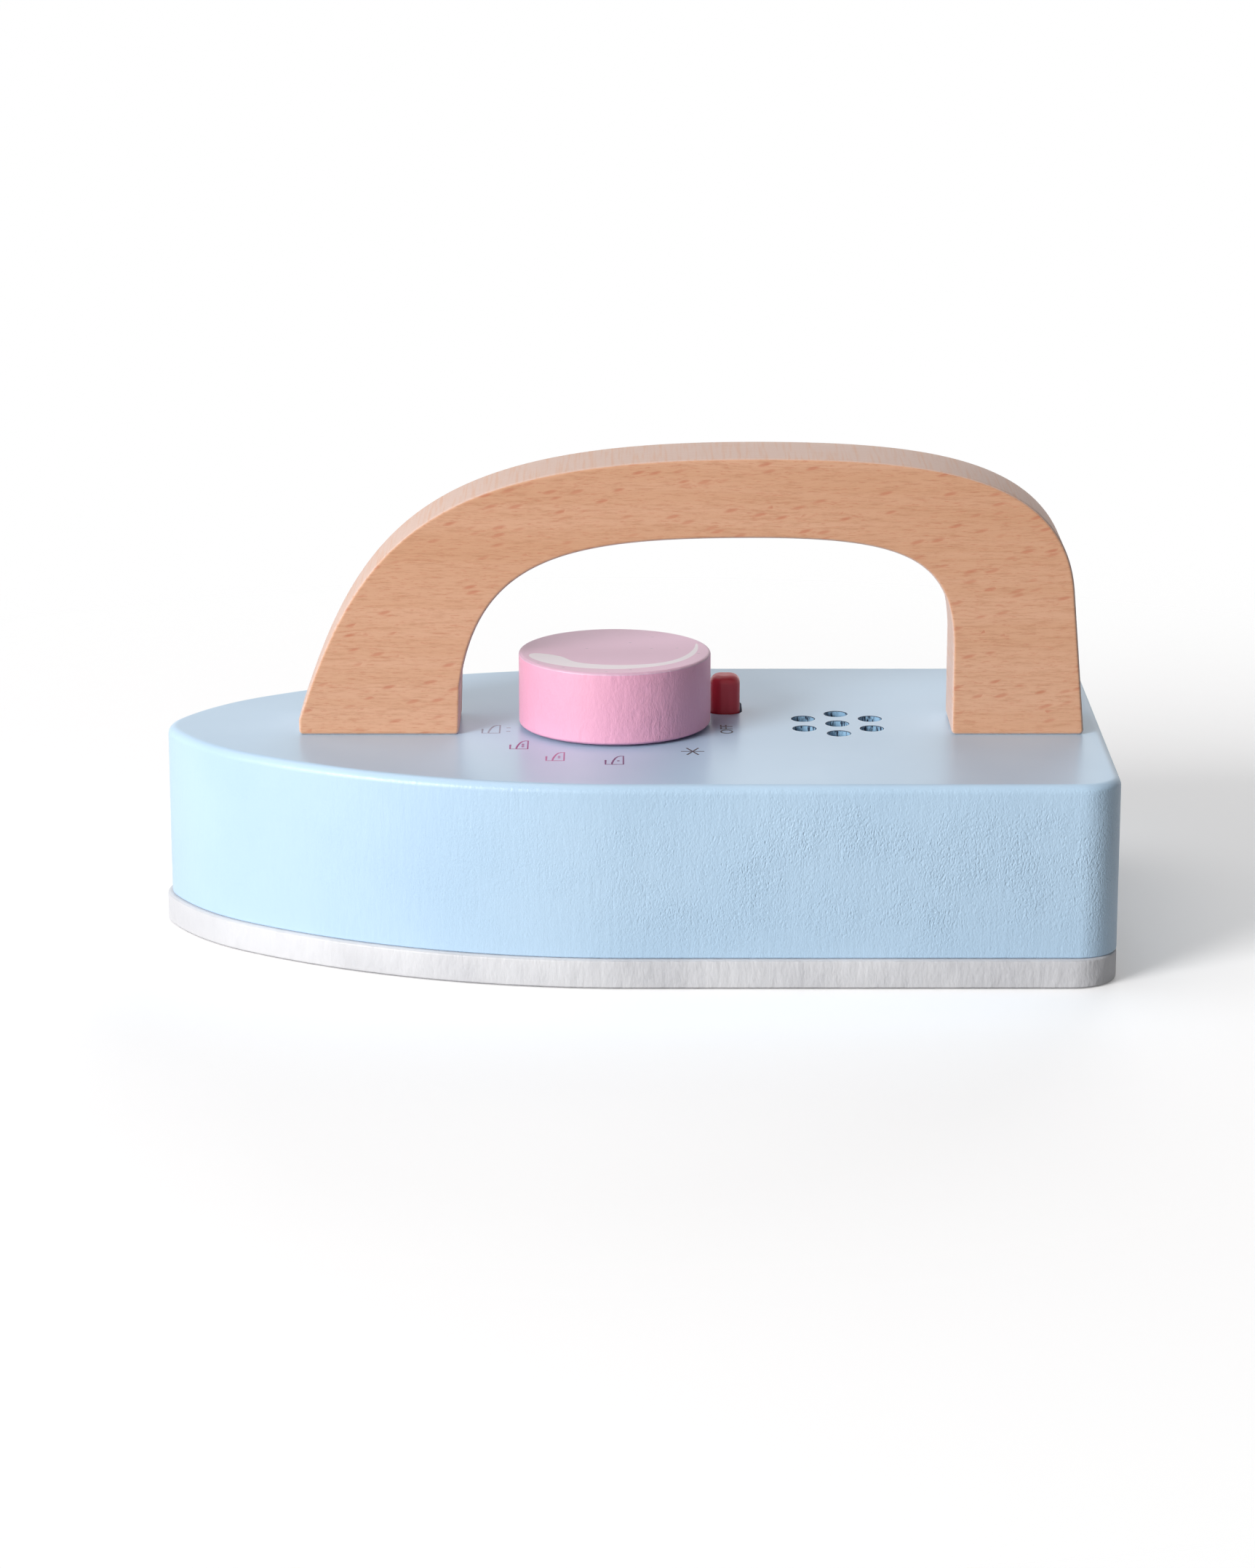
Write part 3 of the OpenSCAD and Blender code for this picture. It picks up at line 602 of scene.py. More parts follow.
def node_group(name: str, inputs: dict[str, str], outputs: Sequence[str],
               wiring: Callable[[Graph, Node], Sockets]) -> bpy.types.NodeTree:
    """Builds a shared shader node group once.

    Args:
        name: Name of the group.
        inputs: Socket type by input name.
        outputs: Names of its outputs, each a value.
        wiring: Wires the group from its input node and returns the sockets of its outputs.

    Returns:
        The node group.
    """
    known = bpy.data.node_groups.get(name)
    if known:
        return known
    tree = bpy.data.node_groups.new(name, "ShaderNodeTree")
    for label, kind in inputs.items():
        tree.interface.new_socket(label, in_out="INPUT", socket_type=kind)
    for label in outputs:
        tree.interface.new_socket(label, in_out="OUTPUT", socket_type=FLOAT)
    graph = Graph(tree)
    entry = graph.node("NodeGroupInput")
    leave = graph.node("NodeGroupOutput")
    for label, socket in wiring(graph, entry).items():
        graph.feed(leave.inputs[label], socket)
    return tree


VECTOR, FLOAT = "NodeSocketVector", "NodeSocketFloat"
EVEN = (1.0, 1.0, 1.0)
NOISE_SPAN = (0.3, 0.7)


@dataclass(frozen=True)
class PaintRelief:
    """Shared relief of brushed paint over wood: fine peel, raised grain and small pits.

    Scales are per metre. A noise is its detail and roughness, a span is where a smooth step starts
    and ends, and a step adds what it becomes there.
    """

    flake_shape: Point3 = (1.0, 1.0, 0.6)
    peel_noise: Span = (2.5, 0.6)
    patch_scale: float = 90.0
    patch_noise: Span = (3.0, 0.6)
    patch_step: Step = (0.4, 0.66, 0.5, 1.0)
    streak_noise: Span = (3.0, 0.6)
    pit_span: Span = (0.1, 0.42)
    pit_share: float = 0.3
    mottle_scale: float = 45.0
    mottle_detail: float = 3.0

    def tree(self) -> bpy.types.NodeTree:
        """Returns the node group, built on the first call."""
        inputs = {"Position": VECTOR, "Peel": FLOAT, "Streak": FLOAT, "Stretch": VECTOR, "Pits": FLOAT,
                  "Grain": FLOAT, "Coarse": FLOAT}
        return node_group("paint_relief", inputs, ("Height", "Mottle", "Peel", "Streak"), self.wiring)

    def wiring(self, graph: Graph, entry: Node) -> Sockets:
        """Wires the group.

        Args:
            graph: The group's tree.
            entry: Its input node.

        Returns:
            The sockets of its outputs.
        """
        given = entry.outputs
        place = given["Position"]
        flakes = graph.stretch(place, self.flake_shape)
        peel = graph.noise(flakes, given["Peel"], *self.peel_noise)
        patches = graph.remap(graph.noise(place, self.patch_scale, *self.patch_noise), *self.patch_step)
        streak = graph.noise(graph.scaled(place, given["Stretch"]), given["Streak"], *self.streak_noise)
        cells = graph.cells(flakes, given["Pits"], feature="SMOOTH_F1")
        pits = graph.product(graph.remap(cells["Distance"], *self.pit_span), self.pit_share)
        bumps = graph.product(graph.math("ADD", peel, pits), patches)
        height = graph.math("ADD", graph.product(streak, given["Grain"]),
                            graph.product(bumps, given["Coarse"]))
        mottle = graph.noise(place, self.mottle_scale, self.mottle_detail)
        return {"Height": height, "Mottle": mottle, "Peel": peel, "Streak": streak}


@dataclass(frozen=True)
class WoodGrain:
    """Shared straight wood grain along X: growth bands, fibre lines, short ray flecks and pores."""

    bend_scale: float = 14.0
    bend_height: float = 4.0
    band_scale: Point3 = (9.0, 60.0, 230.0)
    band_noise: Span = (3.0, 0.6)
    fibre_scale: Point3 = (300.0, 1800.0, 3000.0)
    fibre_noise: Span = (4.0, 0.7)
    fleck_turn: Point3 = (0.0, 0.25, 0.0)
    fleck_scale: Point3 = (280.0, 480.0, 1050.0)
    fleck_span: Span = (0.46, 0.14)
    strength_step: Step = (0.0, 1.0, 0.35, 1.0)
    crowd_scale: float = 40.0
    crowd_step: Step = (0.35, 0.65, 0.92, 0.55)
    pore_scale: Point3 = (650.0, 2600.0, 6200.0)
    pore_noise: Span = (2.0, 0.6)
    pore_span: Span = (0.56, 0.7)

    def tree(self) -> bpy.types.NodeTree:
        """Returns the node group, built on the first call."""
        return node_group("wood_grain", {"Position": VECTOR}, ("Bands", "Fibre", "Fleck", "Pores"),
                          self.wiring)

    def wiring(self, graph: Graph, entry: Node) -> Sockets:
        """Wires the group.

        Args:
            graph: The group's tree.
            entry: Its input node.

        Returns:
            The sockets of its outputs.
        """
        place = entry.outputs["Position"]
        bend = graph.noise(place, self.bend_scale, 1.0)
        lift = graph.wire("ShaderNodeCombineXYZ", {"Z": graph.product(bend, self.bend_height * MM)})
        wavy = graph.wire("ShaderNodeVectorMath", {0: place, 1: lift}, operation="ADD")
        bands = graph.streaks(wavy, self.band_scale, *self.band_noise)
        fibre = graph.streaks(wavy, self.fibre_scale, *self.fibre_noise)
        tilted = graph.stretch(wavy, EVEN, turn=self.fleck_turn)
        cells = graph.cells(graph.stretch(tilted, self.fleck_scale))
        chance = graph.node("ShaderNodeSeparateColor")
        graph.feed(chance.inputs[0], cells["Color"])
        crowd = graph.remap(graph.noise(place, self.crowd_scale), *self.crowd_step)
        kept = graph.math("GREATER_THAN", chance.outputs["Red"], crowd)
        strength = graph.remap(chance.outputs["Green"], *self.strength_step)
        fleck = graph.product(graph.remap(cells["Distance"], *self.fleck_span), kept)
        pores = graph.remap(graph.streaks(wavy, self.pore_scale, *self.pore_noise), *self.pore_span)
        return {"Bands": bands, "Fibre": fibre, "Fleck": graph.product(fleck, strength), "Pores": pores}


@dataclass(frozen=True)
class SurfaceMottle:
    """Shared fine unevenness of a moulded, rolled or drawn surface."""

    fine_noise: Span = (3.0, 0.6)
    broad_scale: float = 90.0

    def tree(self) -> bpy.types.NodeTree:
        """Returns the node group, built on the first call."""
        inputs = {"Position": VECTOR, "Scale": FLOAT, "Stretch": VECTOR}
        return node_group("surface_mottle", inputs, ("Fine", "Broad"), self.wiring)

    def wiring(self, graph: Graph, entry: Node) -> Sockets:
        """Wires the group.

        Args:
            graph: The group's tree.
            entry: Its input node.

        Returns:
            The sockets of its outputs.
        """
        given = entry.outputs
        along = graph.scaled(given["Position"], given["Stretch"])
        return {"Fine": graph.noise(along, given["Scale"], *self.fine_noise),
                "Broad": graph.noise(given["Position"], self.broad_scale)}


@dataclass(frozen=True)
class Finish:
    """A finish that builds its own material once."""

    name: str
    base: Colour
    dark: Colour
    roughness: Span = (0.4, 0.55)
    relief: float = 0.02

    def build(self) -> bpy.types.Material:
        """Makes the finish's material on the first call.

        Returns:
            The material.
        """
        known = bpy.data.materials.get(self.name)
        if known:
            return known
        material = bpy.data.materials.new(self.name)
        material.use_nodes = True
        material.diffuse_color = (*self.base, 1.0)
        graph = Graph(material.node_tree)
        shader = material.node_tree.nodes["Principled BSDF"]
        coords = graph.node("ShaderNodeTexCoord")
        self.dress(graph, shader, coords)
        return material

    def dress(self, graph: Graph, shader: Node, coords: Node) -> None:
        """Wires the finish into its shader; each kind of finish has its own."""
        raise NotImplementedError

    def shared(self, graph: Graph, tree: bpy.types.NodeTree,
               inputs: dict[str, object]) -> bpy.types.NodeOutputs:
        """Places a shared node group and feeds its inputs.

        Args:
            graph: The material's tree.
            tree: The group.
            inputs: Values or sockets by input name.

        Returns:
            The group's outputs.
        """
        made = graph.node("ShaderNodeGroup", node_tree=tree)
        for label, value in inputs.items():
            graph.feed(made.inputs[label], value)
        return made.outputs

    def bump(self, graph: Graph, shader: Node, height: object) -> None:
        """Feeds a height from 0 to 1 to the shader's normal, at the finish's own depth."""
        normal = graph.wire("ShaderNodeBump", {"Height": height, "Distance": self.relief * MM,
                                               "Strength": 1.0})
        graph.feed(shader.inputs["Normal"], normal)

    def tint(self, graph: Graph, shader: Node, share: object) -> None:
        """Feeds the shader's colour between the finish's two tones."""
        graph.feed(shader.inputs["Base Color"], graph.mix(share, self.base, self.dark))

    def dull(self, graph: Graph, shader: Node, noise: object) -> None:
        """Feeds the shader's roughness between the finish's two limits."""
        graph.feed(shader.inputs["Roughness"], graph.remap(noise, *NOISE_SPAN, *self.roughness))


@dataclass(frozen=True)
class Paint(Finish):
    """Satin paint over wood."""

    peel: float = 900.0
    streak: float = 600.0
    pits: float = 520.0
    stretch: Point3 = (1.0, 1.0, 0.1)
    grain: float = 0.5
    coarse_from: float = -60.0
    coarse_to: float = 40.0
    coarse: Span = (0.5, 0.5)
    calm_level: float = 20.0
    calm_reach: float = 200.0
    calm_core: float = 0.35
    calm_share: float = 0.4
    upright_span: Span = (0.35, 0.9)
    level_span: Span = (0.6, 0.95)
    flat_share: float = 0.35
    flat_gloss: float = 1.0
    flat_swing: float = 0.1
    mottle_span: Span = (0.3, 0.75)
    streak_span: Span = (0.52, 0.7)
    streak_tint: float = 0.0
    specks: float = 0.0
    speck_scale: Point3 = (260.0, 420.0, 420.0)
    speck_span: Span = (0.09, 0.04)
    speck_odds: float = 0.84
    speck_level: Span = (0.8, 0.95)
    speck_colour: Colour = srgb(110, 70, 84)

    def dress(self, graph: Graph, shader: Node, coords: Node) -> None:
        """Wires paint colour, sheen and relief, calmer on level faces than on upright ones.

        Args:
            graph: The material's tree.
            shader: Its shader.
            coords: Its texture coordinates.
        """
        place = coords.outputs["Object"]
        level = graph.math("ABSOLUTE", graph.split(coords.outputs["Normal"])["Z"])
        upright = graph.remap(level, *self.upright_span, 1.0, self.flat_share)
        relief = self.shared(graph, PaintRelief().tree(), {
            "Position": place, "Peel": self.peel, "Streak": self.streak, "Stretch": self.stretch,
            "Pits": self.pits, "Grain": graph.product(upright, self.grain),
            "Coarse": graph.product(upright, self.sweep(graph, place))})
        self.bump(graph, shader, relief["Height"])
        tone = graph.mix(graph.remap(relief["Mottle"], *self.mottle_span), self.base, self.dark)
        if self.streak_tint:
            lines = graph.product(graph.remap(relief["Streak"], *self.streak_span), upright)
            tone = graph.mix(graph.product(lines, self.streak_tint), tone, self.dark)
        if self.specks:
            tone = self.speckle(graph, place, level, tone)
        graph.feed(shader.inputs["Base Color"], self.mark(graph, place, tone))
        mean = sum(self.roughness) / 2
        swing = graph.math("SUBTRACT", graph.remap(relief["Peel"], *NOISE_SPAN, *self.roughness), mean)
        swing = graph.product(swing, graph.remap(level, *self.level_span, 1.0, self.flat_swing))
        gloss = graph.remap(level, *self.level_span, 1.0, self.flat_gloss)
        graph.feed(shader.inputs["Roughness"], graph.product(graph.math("ADD", mean, swing), gloss))

    def sweep(self, graph: Graph, place: Socket) -> Socket:
        """Lets the relief change along the piece and calm away from one level.

        Args:
            graph: The material's tree.
            place: Coordinates on the piece.

        Returns:
            The coarseness.
        """
        apart = graph.split(place)
        along = graph.remap(apart["X"], self.coarse_from * MM, self.coarse_to * MM, *self.coarse)
        off_level = graph.math("ABSOLUTE", graph.math("SUBTRACT", apart["Z"], self.calm_level * MM))
        reach = self.calm_reach * MM
        calm = graph.remap(off_level, reach, self.calm_core * reach, self.calm_share, 1.0)
        return graph.product(along, calm)

    def speckle(self, graph: Graph, place: Socket, level: Socket, tone: Socket) -> Socket:
        """Scatters small dark specks on level faces.

        Args:
            graph: The material's tree.
            place: Coordinates on the piece.
            level: How level the face is.
            tone: Colour of the paint.

        Returns:
            The speckled colour.
        """
        cells = graph.cells(graph.stretch(place, self.speck_scale), voronoi_dimensions="2D")
        chance = graph.wire("ShaderNodeSeparateColor", {0: cells["Color"]})
        spot = graph.product(graph.remap(cells["Distance"], *self.speck_span),
                             graph.math("GREATER_THAN", chance, self.speck_odds))
        spot = graph.product(spot, graph.remap(level, *self.speck_level))
        return graph.mix(graph.product(spot, self.specks), tone, self.speck_colour)

    def mark(self, graph: Graph, place: Socket, tone: Socket) -> Socket:
        """Colour with any printed mark on top; plain paint has none."""
        return tone


@dataclass(frozen=True)
class DialPaint(Paint):
    """Paint with a printed white wedge that swells round the dial, over a painted reflection that pales
    the knob's top.

    Each row of the wedge is an angle in degrees and its outer and inner radius.
    """

    centre: Point = (-3.0, 0.0)
    ink: Colour = srgb(236, 228, 234)
    # Painted reflection on the knob's top: the paler lilac pink and how much of it is mixed in.
    pale: Colour = srgb(214, 199, 219)
    top_reflection_share: float = 0.5
    print_depth: float = 0.4
    reach: float = 20.0
    first: float = -176.0
    last: float = 26.0
    soft: float = 0.12
    parting: float = 0.2
    wedge: tuple[Point3, ...] = (
        (-172.5, 13.8, 13.7), (-170.0, 14.7, 12.4), (-163.0, 15.1, 10.8), (-150.0, 14.8, 9.9),
        (-128.0, 13.9, 10.4), (-102.0, 13.2, 10.2), (-73.0, 13.1, 10.6), (-43.0, 13.4, 11.8),
        (-8.0, 13.9, 12.8), (10.0, 14.5, 13.9), (20.0, 15.0, 14.9))

    def mark(self, graph: Graph, place: Socket, tone: Socket) -> Socket:
        """Prints the white wedge between its outer and inner edge, over a painted reflection that pales
        the top.

        Args:
            graph: The material's tree.
            place: Coordinates on the piece.
            tone: Colour of the paint.

        Returns:
            The printed colour.
        """
        local = graph.stretch(place, (1.0, 1.0, 0.0), (-self.centre[0] * MM, -self.centre[1] * MM, 0.0))
        apart = graph.split(local)
        angle = graph.math("ARCTAN2", apart["Y"], apart["X"])
        share = graph.wire("ShaderNodeMapRange", {"Value": angle, "From Min": math.radians(self.first),
                                                  "From Max": math.radians(self.last)})
        radius = graph.length(local)
        outer = graph.math("SUBTRACT", self.edge(graph, share, 1, -self.parting), radius)
        inner = graph.math("SUBTRACT", radius, self.edge(graph, share, 2, self.parting))
        inside = graph.math("MINIMUM", outer, inner)
        mask = graph.remap(inside, -self.soft * MM, self.soft * MM)
        print_low = (Dial().top - self.print_depth) * MM
        on_top = graph.math("GREATER_THAN", graph.split(place)["Z"], print_low)
        # Painted reflection: the knob's top is mixed towards a paler lilac pink, standing in for the
        # surround reflected in it.
        top_reflection_tone = graph.mix(graph.product(on_top, self.top_reflection_share), tone, self.pale)
        return graph.mix(graph.product(mask, on_top), top_reflection_tone, self.ink)

    def edge(self, graph: Graph, share: Socket, column: int, parting: float) -> Socket:
        """Radius in metres of one edge of the wedge along its sweep.

        Args:
            graph: The material's tree.
            share: How far round the sweep a point is.
            column: The edge's column in the rows of the wedge.
            parting: How far the edge is moved past the other one where the wedge has ended.

        Returns:
            The radius.
        """
        curve = graph.node("ShaderNodeFloatCurve")
        graph.feed(curve.inputs["Value"], share)
        line = curve.mapping.curves[0]
        start = 0.5 * (self.wedge[0][1] + self.wedge[0][2]) / self.reach
        line.points[0].location = (0.0, start + parting)
        line.points[1].location = (1.0, self.wedge[-1][1] / self.reach + parting)
        for row in self.wedge:
            along = (row[0] - self.first) / (self.last - self.first)
            line.points.new(along, row[column] / self.reach).handle_type = "AUTO_CLAMPED"
        curve.mapping.update()
        return graph.product(curve.outputs["Value"], self.reach * MM)


@dataclass(frozen=True)
class Beech(Finish):
    """Oiled beech with its grain along the handle."""

    fleck: Colour = srgb(190, 112, 81)
    # Paler tone of the sawn faces, also laid on the rounded edges as a painted highlight.
    edge: Colour = srgb(212, 184, 171)
    light: Colour = srgb(217, 167, 135)
    fibre_step: Step = (0.44, 0.74, 0.0, 0.58)
    fleck_share: float = 0.9
    pore_share: float = 0.42
    sunk_share: float = 0.3
    sawn_and_highlight_span: Span = (0.97, 0.7)
    saw_scale: Point3 = (1900.0, 70.0, 1900.0)
    saw_detail: float = 2.0
    saw_step: Step = (0.45, 0.75, 0.0, 0.45)

    def dress(self, graph: Graph, shader: Node, coords: Node) -> None:
        """Wires bands, fibres, flecks and pores, with paler sawn faces whose pale tone also covers the
        rounded edges as a painted highlight.

        Args:
            graph: The material's tree.
            shader: Its shader.
            coords: Its texture coordinates.
        """
        place = coords.outputs["Object"]
        grain = self.shared(graph, WoodGrain().tree(), {"Position": place})
        tone = graph.mix(graph.remap(grain["Bands"], *NOISE_SPAN), self.light, self.base)
        tone = graph.mix(graph.remap(grain["Fibre"], *self.fibre_step), tone, self.dark)
        tone = graph.mix(graph.product(grain["Fleck"], self.fleck_share), tone, self.fleck)
        tone = graph.mix(graph.product(grain["Pores"], self.pore_share), tone, self.fleck)
        across = graph.math("ABSOLUTE", graph.split(coords.outputs["Normal"])["Y"])
        saw_marks = graph.streaks(place, self.saw_scale, self.saw_detail)
        pale = graph.mix(graph.remap(saw_marks, *self.saw_step), self.edge, self.base)
        # Pale on faces turned away from the board's flat sides: the sawn wood's own tone there, and a
        # painted highlight on the rounded edges.
        sawn = graph.remap(across, *self.sawn_and_highlight_span)
        graph.feed(shader.inputs["Base Color"], graph.mix(sawn, tone, pale))
        self.dull(graph, shader, grain["Fibre"])
        sunk = graph.product(grain["Fleck"], self.sunk_share)
        self.bump(graph, shader, graph.math("SUBTRACT", grain["Fibre"], sunk))


@dataclass(frozen=True)
class BoredWood(Finish):
    """Wall of a drilled hole: torn fibres under thin paint, with painted shade in the gaps between them
    and in a band just under the rim.
    """

    rim_level: float = 34.45
    rim_shade_depth: float = 0.2
    rim_shade_core: float = 0.3
    fibre_scale: Point3 = (1900.0, 1900.0, 420.0)
    fibre_noise: Span = (3.0, 0.65)
    gap_shade_span: Span = (0.5, 0.6)

    def dress(self, graph: Graph, shader: Node, coords: Node) -> None:
        """Wires upright torn fibres with dark gaps between them and a dark band just under the rim, both
        painted shade.

        Args:
            graph: The material's tree.
            shader: Its shader.
            coords: Its texture coordinates.
        """
        place = coords.outputs["Object"]
        fibres = graph.streaks(place, self.fibre_scale, *self.fibre_noise)
        # Painted shade: the wall darkens in the gaps between fibres and in a band just under the rim,
        # whose lower edge is made ragged by the fibres.
        ragged = graph.math("ADD", graph.split(place)["Z"], graph.product(fibres, -self.rim_shade_depth * MM))
        rim_shade = graph.remap(ragged, (self.rim_level - self.rim_shade_depth) * MM,
                                (self.rim_level - self.rim_shade_core * self.rim_shade_depth) * MM)
        self.tint(graph, shader, graph.math("MAXIMUM", graph.remap(fibres, *self.gap_shade_span), rim_shade))
        self.dull(graph, shader, fibres)
        self.bump(graph, shader, fibres)


@dataclass(frozen=True)
class Moulding(Finish):
    """Plastic, foam, fibre or insulation."""

    scale: float = 1500.0
    stretch: Point3 = EVEN
    shade_span: Span = (0.3, 0.75)
    subsurface: float = 0.0
    scatter: Point3 = (0.002, 0.0008, 0.0006)

    def dress(self, graph: Graph, shader: Node, coords: Node) -> None:
        """Wires a fine texture with broad changes of tone.

        Args:
            graph: The material's tree.
            shader: Its shader.
            coords: Its texture coordinates.
        """
        mottle = self.shared(graph, SurfaceMottle().tree(), {
            "Position": coords.outputs["Object"], "Scale": self.scale, "Stretch": self.stretch})
        self.tint(graph, shader, graph.remap(mottle["Broad"], *self.shade_span))
        self.dull(graph, shader, mottle["Fine"])
        if self.subsurface:
            shader.inputs["Subsurface Weight"].default_value = self.subsurface
            shader.inputs["Subsurface Radius"].default_value = self.scatter
        self.bump(graph, shader, mottle["Fine"])


@dataclass(frozen=True)
class Metal(Moulding):
    """Plated, drawn or stamped metal, with fine drawing lines and dull spots."""

    scale: float = 2600.0
    stretch: Point3 = (1.0, 1.0, 0.2)
    shade_span: Span = (0.35, 0.75)

    def dress(self, graph: Graph, shader: Node, coords: Node) -> None:
        """Wires the texture on a bare metal."""
        shader.inputs["Metallic"].default_value = 1.0
        super().dress(graph, shader, coords)


BODY_BLUE = Paint("body_blue_paint", srgb(186, 213, 236), srgb(180, 208, 232), (0.34, 0.46), 0.3,
                  peel=3600.0, pits=2200.0, streak=1100.0, stretch=(1.0, 1.0, 0.16), coarse_from=-45.0,
                  coarse_to=35.0, coarse=(0.12, 0.66), calm_level=20.0, calm_reach=15.0, grain=0.22,
                  flat_share=0.0, flat_gloss=0.7)
SOLE_WHITE = Paint("sole_white_paint", srgb(215, 215, 218), srgb(198, 198, 202), (0.42, 0.55), 0.45,
                   streak=480.0, stretch=(1.0, 1.0, 0.35), grain=0.5, coarse=(0.15, 0.25), streak_tint=0.2)
DIAL_PINK = DialPaint("dial_pink_paint", srgb(235, 171, 196), srgb(230, 164, 190), (0.42, 0.55), 0.3,
                      peel=2000.0, streak=900.0, stretch=(1.0, 1.0, 0.25), grain=0.26, coarse=(0.3, 0.45),
                      flat_share=0.1, flat_gloss=0.72, specks=0.75)
BEECH = Beech("oiled_beech", srgb(209, 157, 122), srgb(184, 127, 91), (0.5, 0.64), 0.05)
# Painted shade: the switch slot's walls are a much darker copy of the bored wood, standing in for the
# shade inside the slot.
SHADED_SLOT_WALL = BoredWood("slot_wall_painted_shade", srgb(84, 104, 126), srgb(30, 46, 66), (0.7, 0.85), 0.2)
# Painted shade: the dark tone of the bored wood fills the gaps between its fibres and the band under the
# rim.
BORED = BoredWood("bored_wood", srgb(142, 182, 212), srgb(22, 40, 62), (0.7, 0.85), 0.3)
CAP_RED = Moulding("cap_red_plastic", srgb(192, 40, 60), srgb(184, 34, 54), (0.3, 0.4), 0.008,
                   subsurface=0.1)

SLOT_FINISHES: dict[str, Finish] = {
    "body_paint": BODY_BLUE,
    "sole_paint": SOLE_WHITE,
    "beech": BEECH,
    "dial_paint": DIAL_PINK,
    "cap_red": CAP_RED,
    "switch_black": Moulding("switch_black_plastic", (0.018, 0.018, 0.02), (0.012, 0.012, 0.013)),
    "case_plastic": Moulding("case_white_plastic", srgb(236, 234, 228), srgb(228, 226, 220), (0.4, 0.5),
                             0.01),
    "steel": Metal("plated_steel", (0.62, 0.62, 0.63), (0.5, 0.5, 0.51), (0.26, 0.4), 0.004),
    "contact_brass": Metal("contact_brass", (0.66, 0.5, 0.22), (0.55, 0.4, 0.17), (0.28, 0.42), 0.004),
    "fibre": Moulding("pressed_fibre", (0.14, 0.065, 0.03), (0.1, 0.045, 0.02), (0.6, 0.75), 0.02),
    "board_green": Moulding("board_green", (0.02, 0.12, 0.05), (0.015, 0.09, 0.04), (0.3, 0.42), 0.005),
    "chip_black": Moulding("chip_epoxy", (0.01, 0.01, 0.011), (0.006, 0.006, 0.007), (0.15, 0.3), 0.01),
    "capacitor_sleeve": Moulding("capacitor_sleeve", (0.01, 0.016, 0.05), (0.008, 0.012, 0.04),
                                 (0.25, 0.35)),
    "resistor_body": Moulding("resistor_lacquer", (0.5, 0.36, 0.18), (0.42, 0.3, 0.14), (0.4, 0.5)),
    "foam": Moulding("black_foam", (0.02, 0.02, 0.022), (0.01, 0.01, 0.011), (0.85, 0.95), 0.1, 2400.0),
    "cone_film": Moulding("cone_film", (0.6, 0.58, 0.5), (0.54, 0.52, 0.45), (0.3, 0.45), 0.005),
    "lead_red": Moulding("lead_red", (0.22, 0.006, 0.006), (0.17, 0.005, 0.005), (0.4, 0.5)),
    "lead_black": Moulding("lead_black", (0.008, 0.008, 0.008), (0.005, 0.005, 0.005), (0.4, 0.5)),
    "cell_can": Metal("cell_sleeve", (0.38, 0.26, 0.06), (0.33, 0.22, 0.05), (0.3, 0.4), 0.003),
}

# Printed lines: how far their colour fades, their sheen and their relief
INK_FADE, INK_LIFT = 0.85, 0.06
INK_ROUGHNESS = (0.45, 0.6)
INK_RELIEF, INK_SCALE = 0.004, 900.0


class Ink(Enum):
    """Printing inks on the top of the body."""

    STEEL = ("print_steel", srgb(152, 156, 178))
    PURPLE = ("print_purple", srgb(152, 74, 134))
    PINK = ("print_pink", srgb(180, 104, 156))
    PLUM = ("print_plum", srgb(106, 62, 112))
    BROWN = ("print_brown", srgb(54, 46, 56))
    GREY = ("print_grey", srgb(62, 64, 74))

    def material(self) -> bpy.types.Material:
        """Makes this ink's material, a little uneven as printed lines are.

        Returns:
            The material.
        """
        name, colour = self.value
        faint = tuple(INK_FADE * c + INK_LIFT for c in colour)
        return Moulding(f"{name}_ink", colour, faint, INK_ROUGHNESS, INK_RELIEF, INK_SCALE).build()


class Wall(IntEnum):
    """Finish numbers of the body's faces."""

    PAINTED = 0
    BORED = 1
    SLOT = 2


@dataclass(frozen=True)
class Plan:
    """Outline of the iron seen from above: arcs that run into each other, with a square heel."""

    heel_x: float = 80.4
    length: float = 160.0
    width: float = 81.5
    nose_r: float = 10.0
    shoulder_r: float = 42.0
    nose_sweep: float = 26.0
    shoulder_sweep: float = 55.0
    heel_r: float = 7.0
    heel_steps: int = 14
    flank_steps: int = 40
    shoulder_steps: int = 24
    nose_steps: int = 20

    def loop(self, grow: float, back: float = 0.0) -> Loop:
        """Outline grown by a distance, anticlockwise.

        Args:
            grow: Distance outwards.
            back: How far the heel is drawn in.

        Returns:
            The points in order.
        """
        nose_turn = math.radians(self.nose_sweep)
        shoulder_turn = math.radians(self.shoulder_sweep)
        nose = Vector((self.heel_x - self.length + self.nose_r, 0.0))
        nose_way = Vector((math.cos(nose_turn), -math.sin(nose_turn)))
        shoulder = nose + (self.shoulder_r - self.nose_r) * nose_way
        rise = math.sin(shoulder_turn)
        flank_r = (self.width / 2 - shoulder.y - self.shoulder_r * rise) / (1.0 - rise)
        flank = shoulder + (flank_r - self.shoulder_r) * Vector((math.cos(shoulder_turn), -rise))
        heel = (self.heel_x - self.heel_r - back, self.width / 2 - self.heel_r)
        half = Outline.arc(heel, self.heel_r + grow, 0.0, QUARTER_TURN, self.heel_steps)
        half += Outline.arc(tuple(flank), flank_r + grow, QUARTER_TURN, HALF_TURN - self.shoulder_sweep,
                            self.flank_steps)
        half += Outline.arc(tuple(shoulder), self.shoulder_r + grow, HALF_TURN - self.shoulder_sweep,
                            HALF_TURN - self.nose_sweep, self.shoulder_steps, 1)
        half += Outline.arc(tuple(nose), self.nose_r + grow, HALF_TURN - self.nose_sweep, HALF_TURN,
                            self.nose_steps, 1)
        return half + [(x, -y) for x, y in half[-2::-1]]


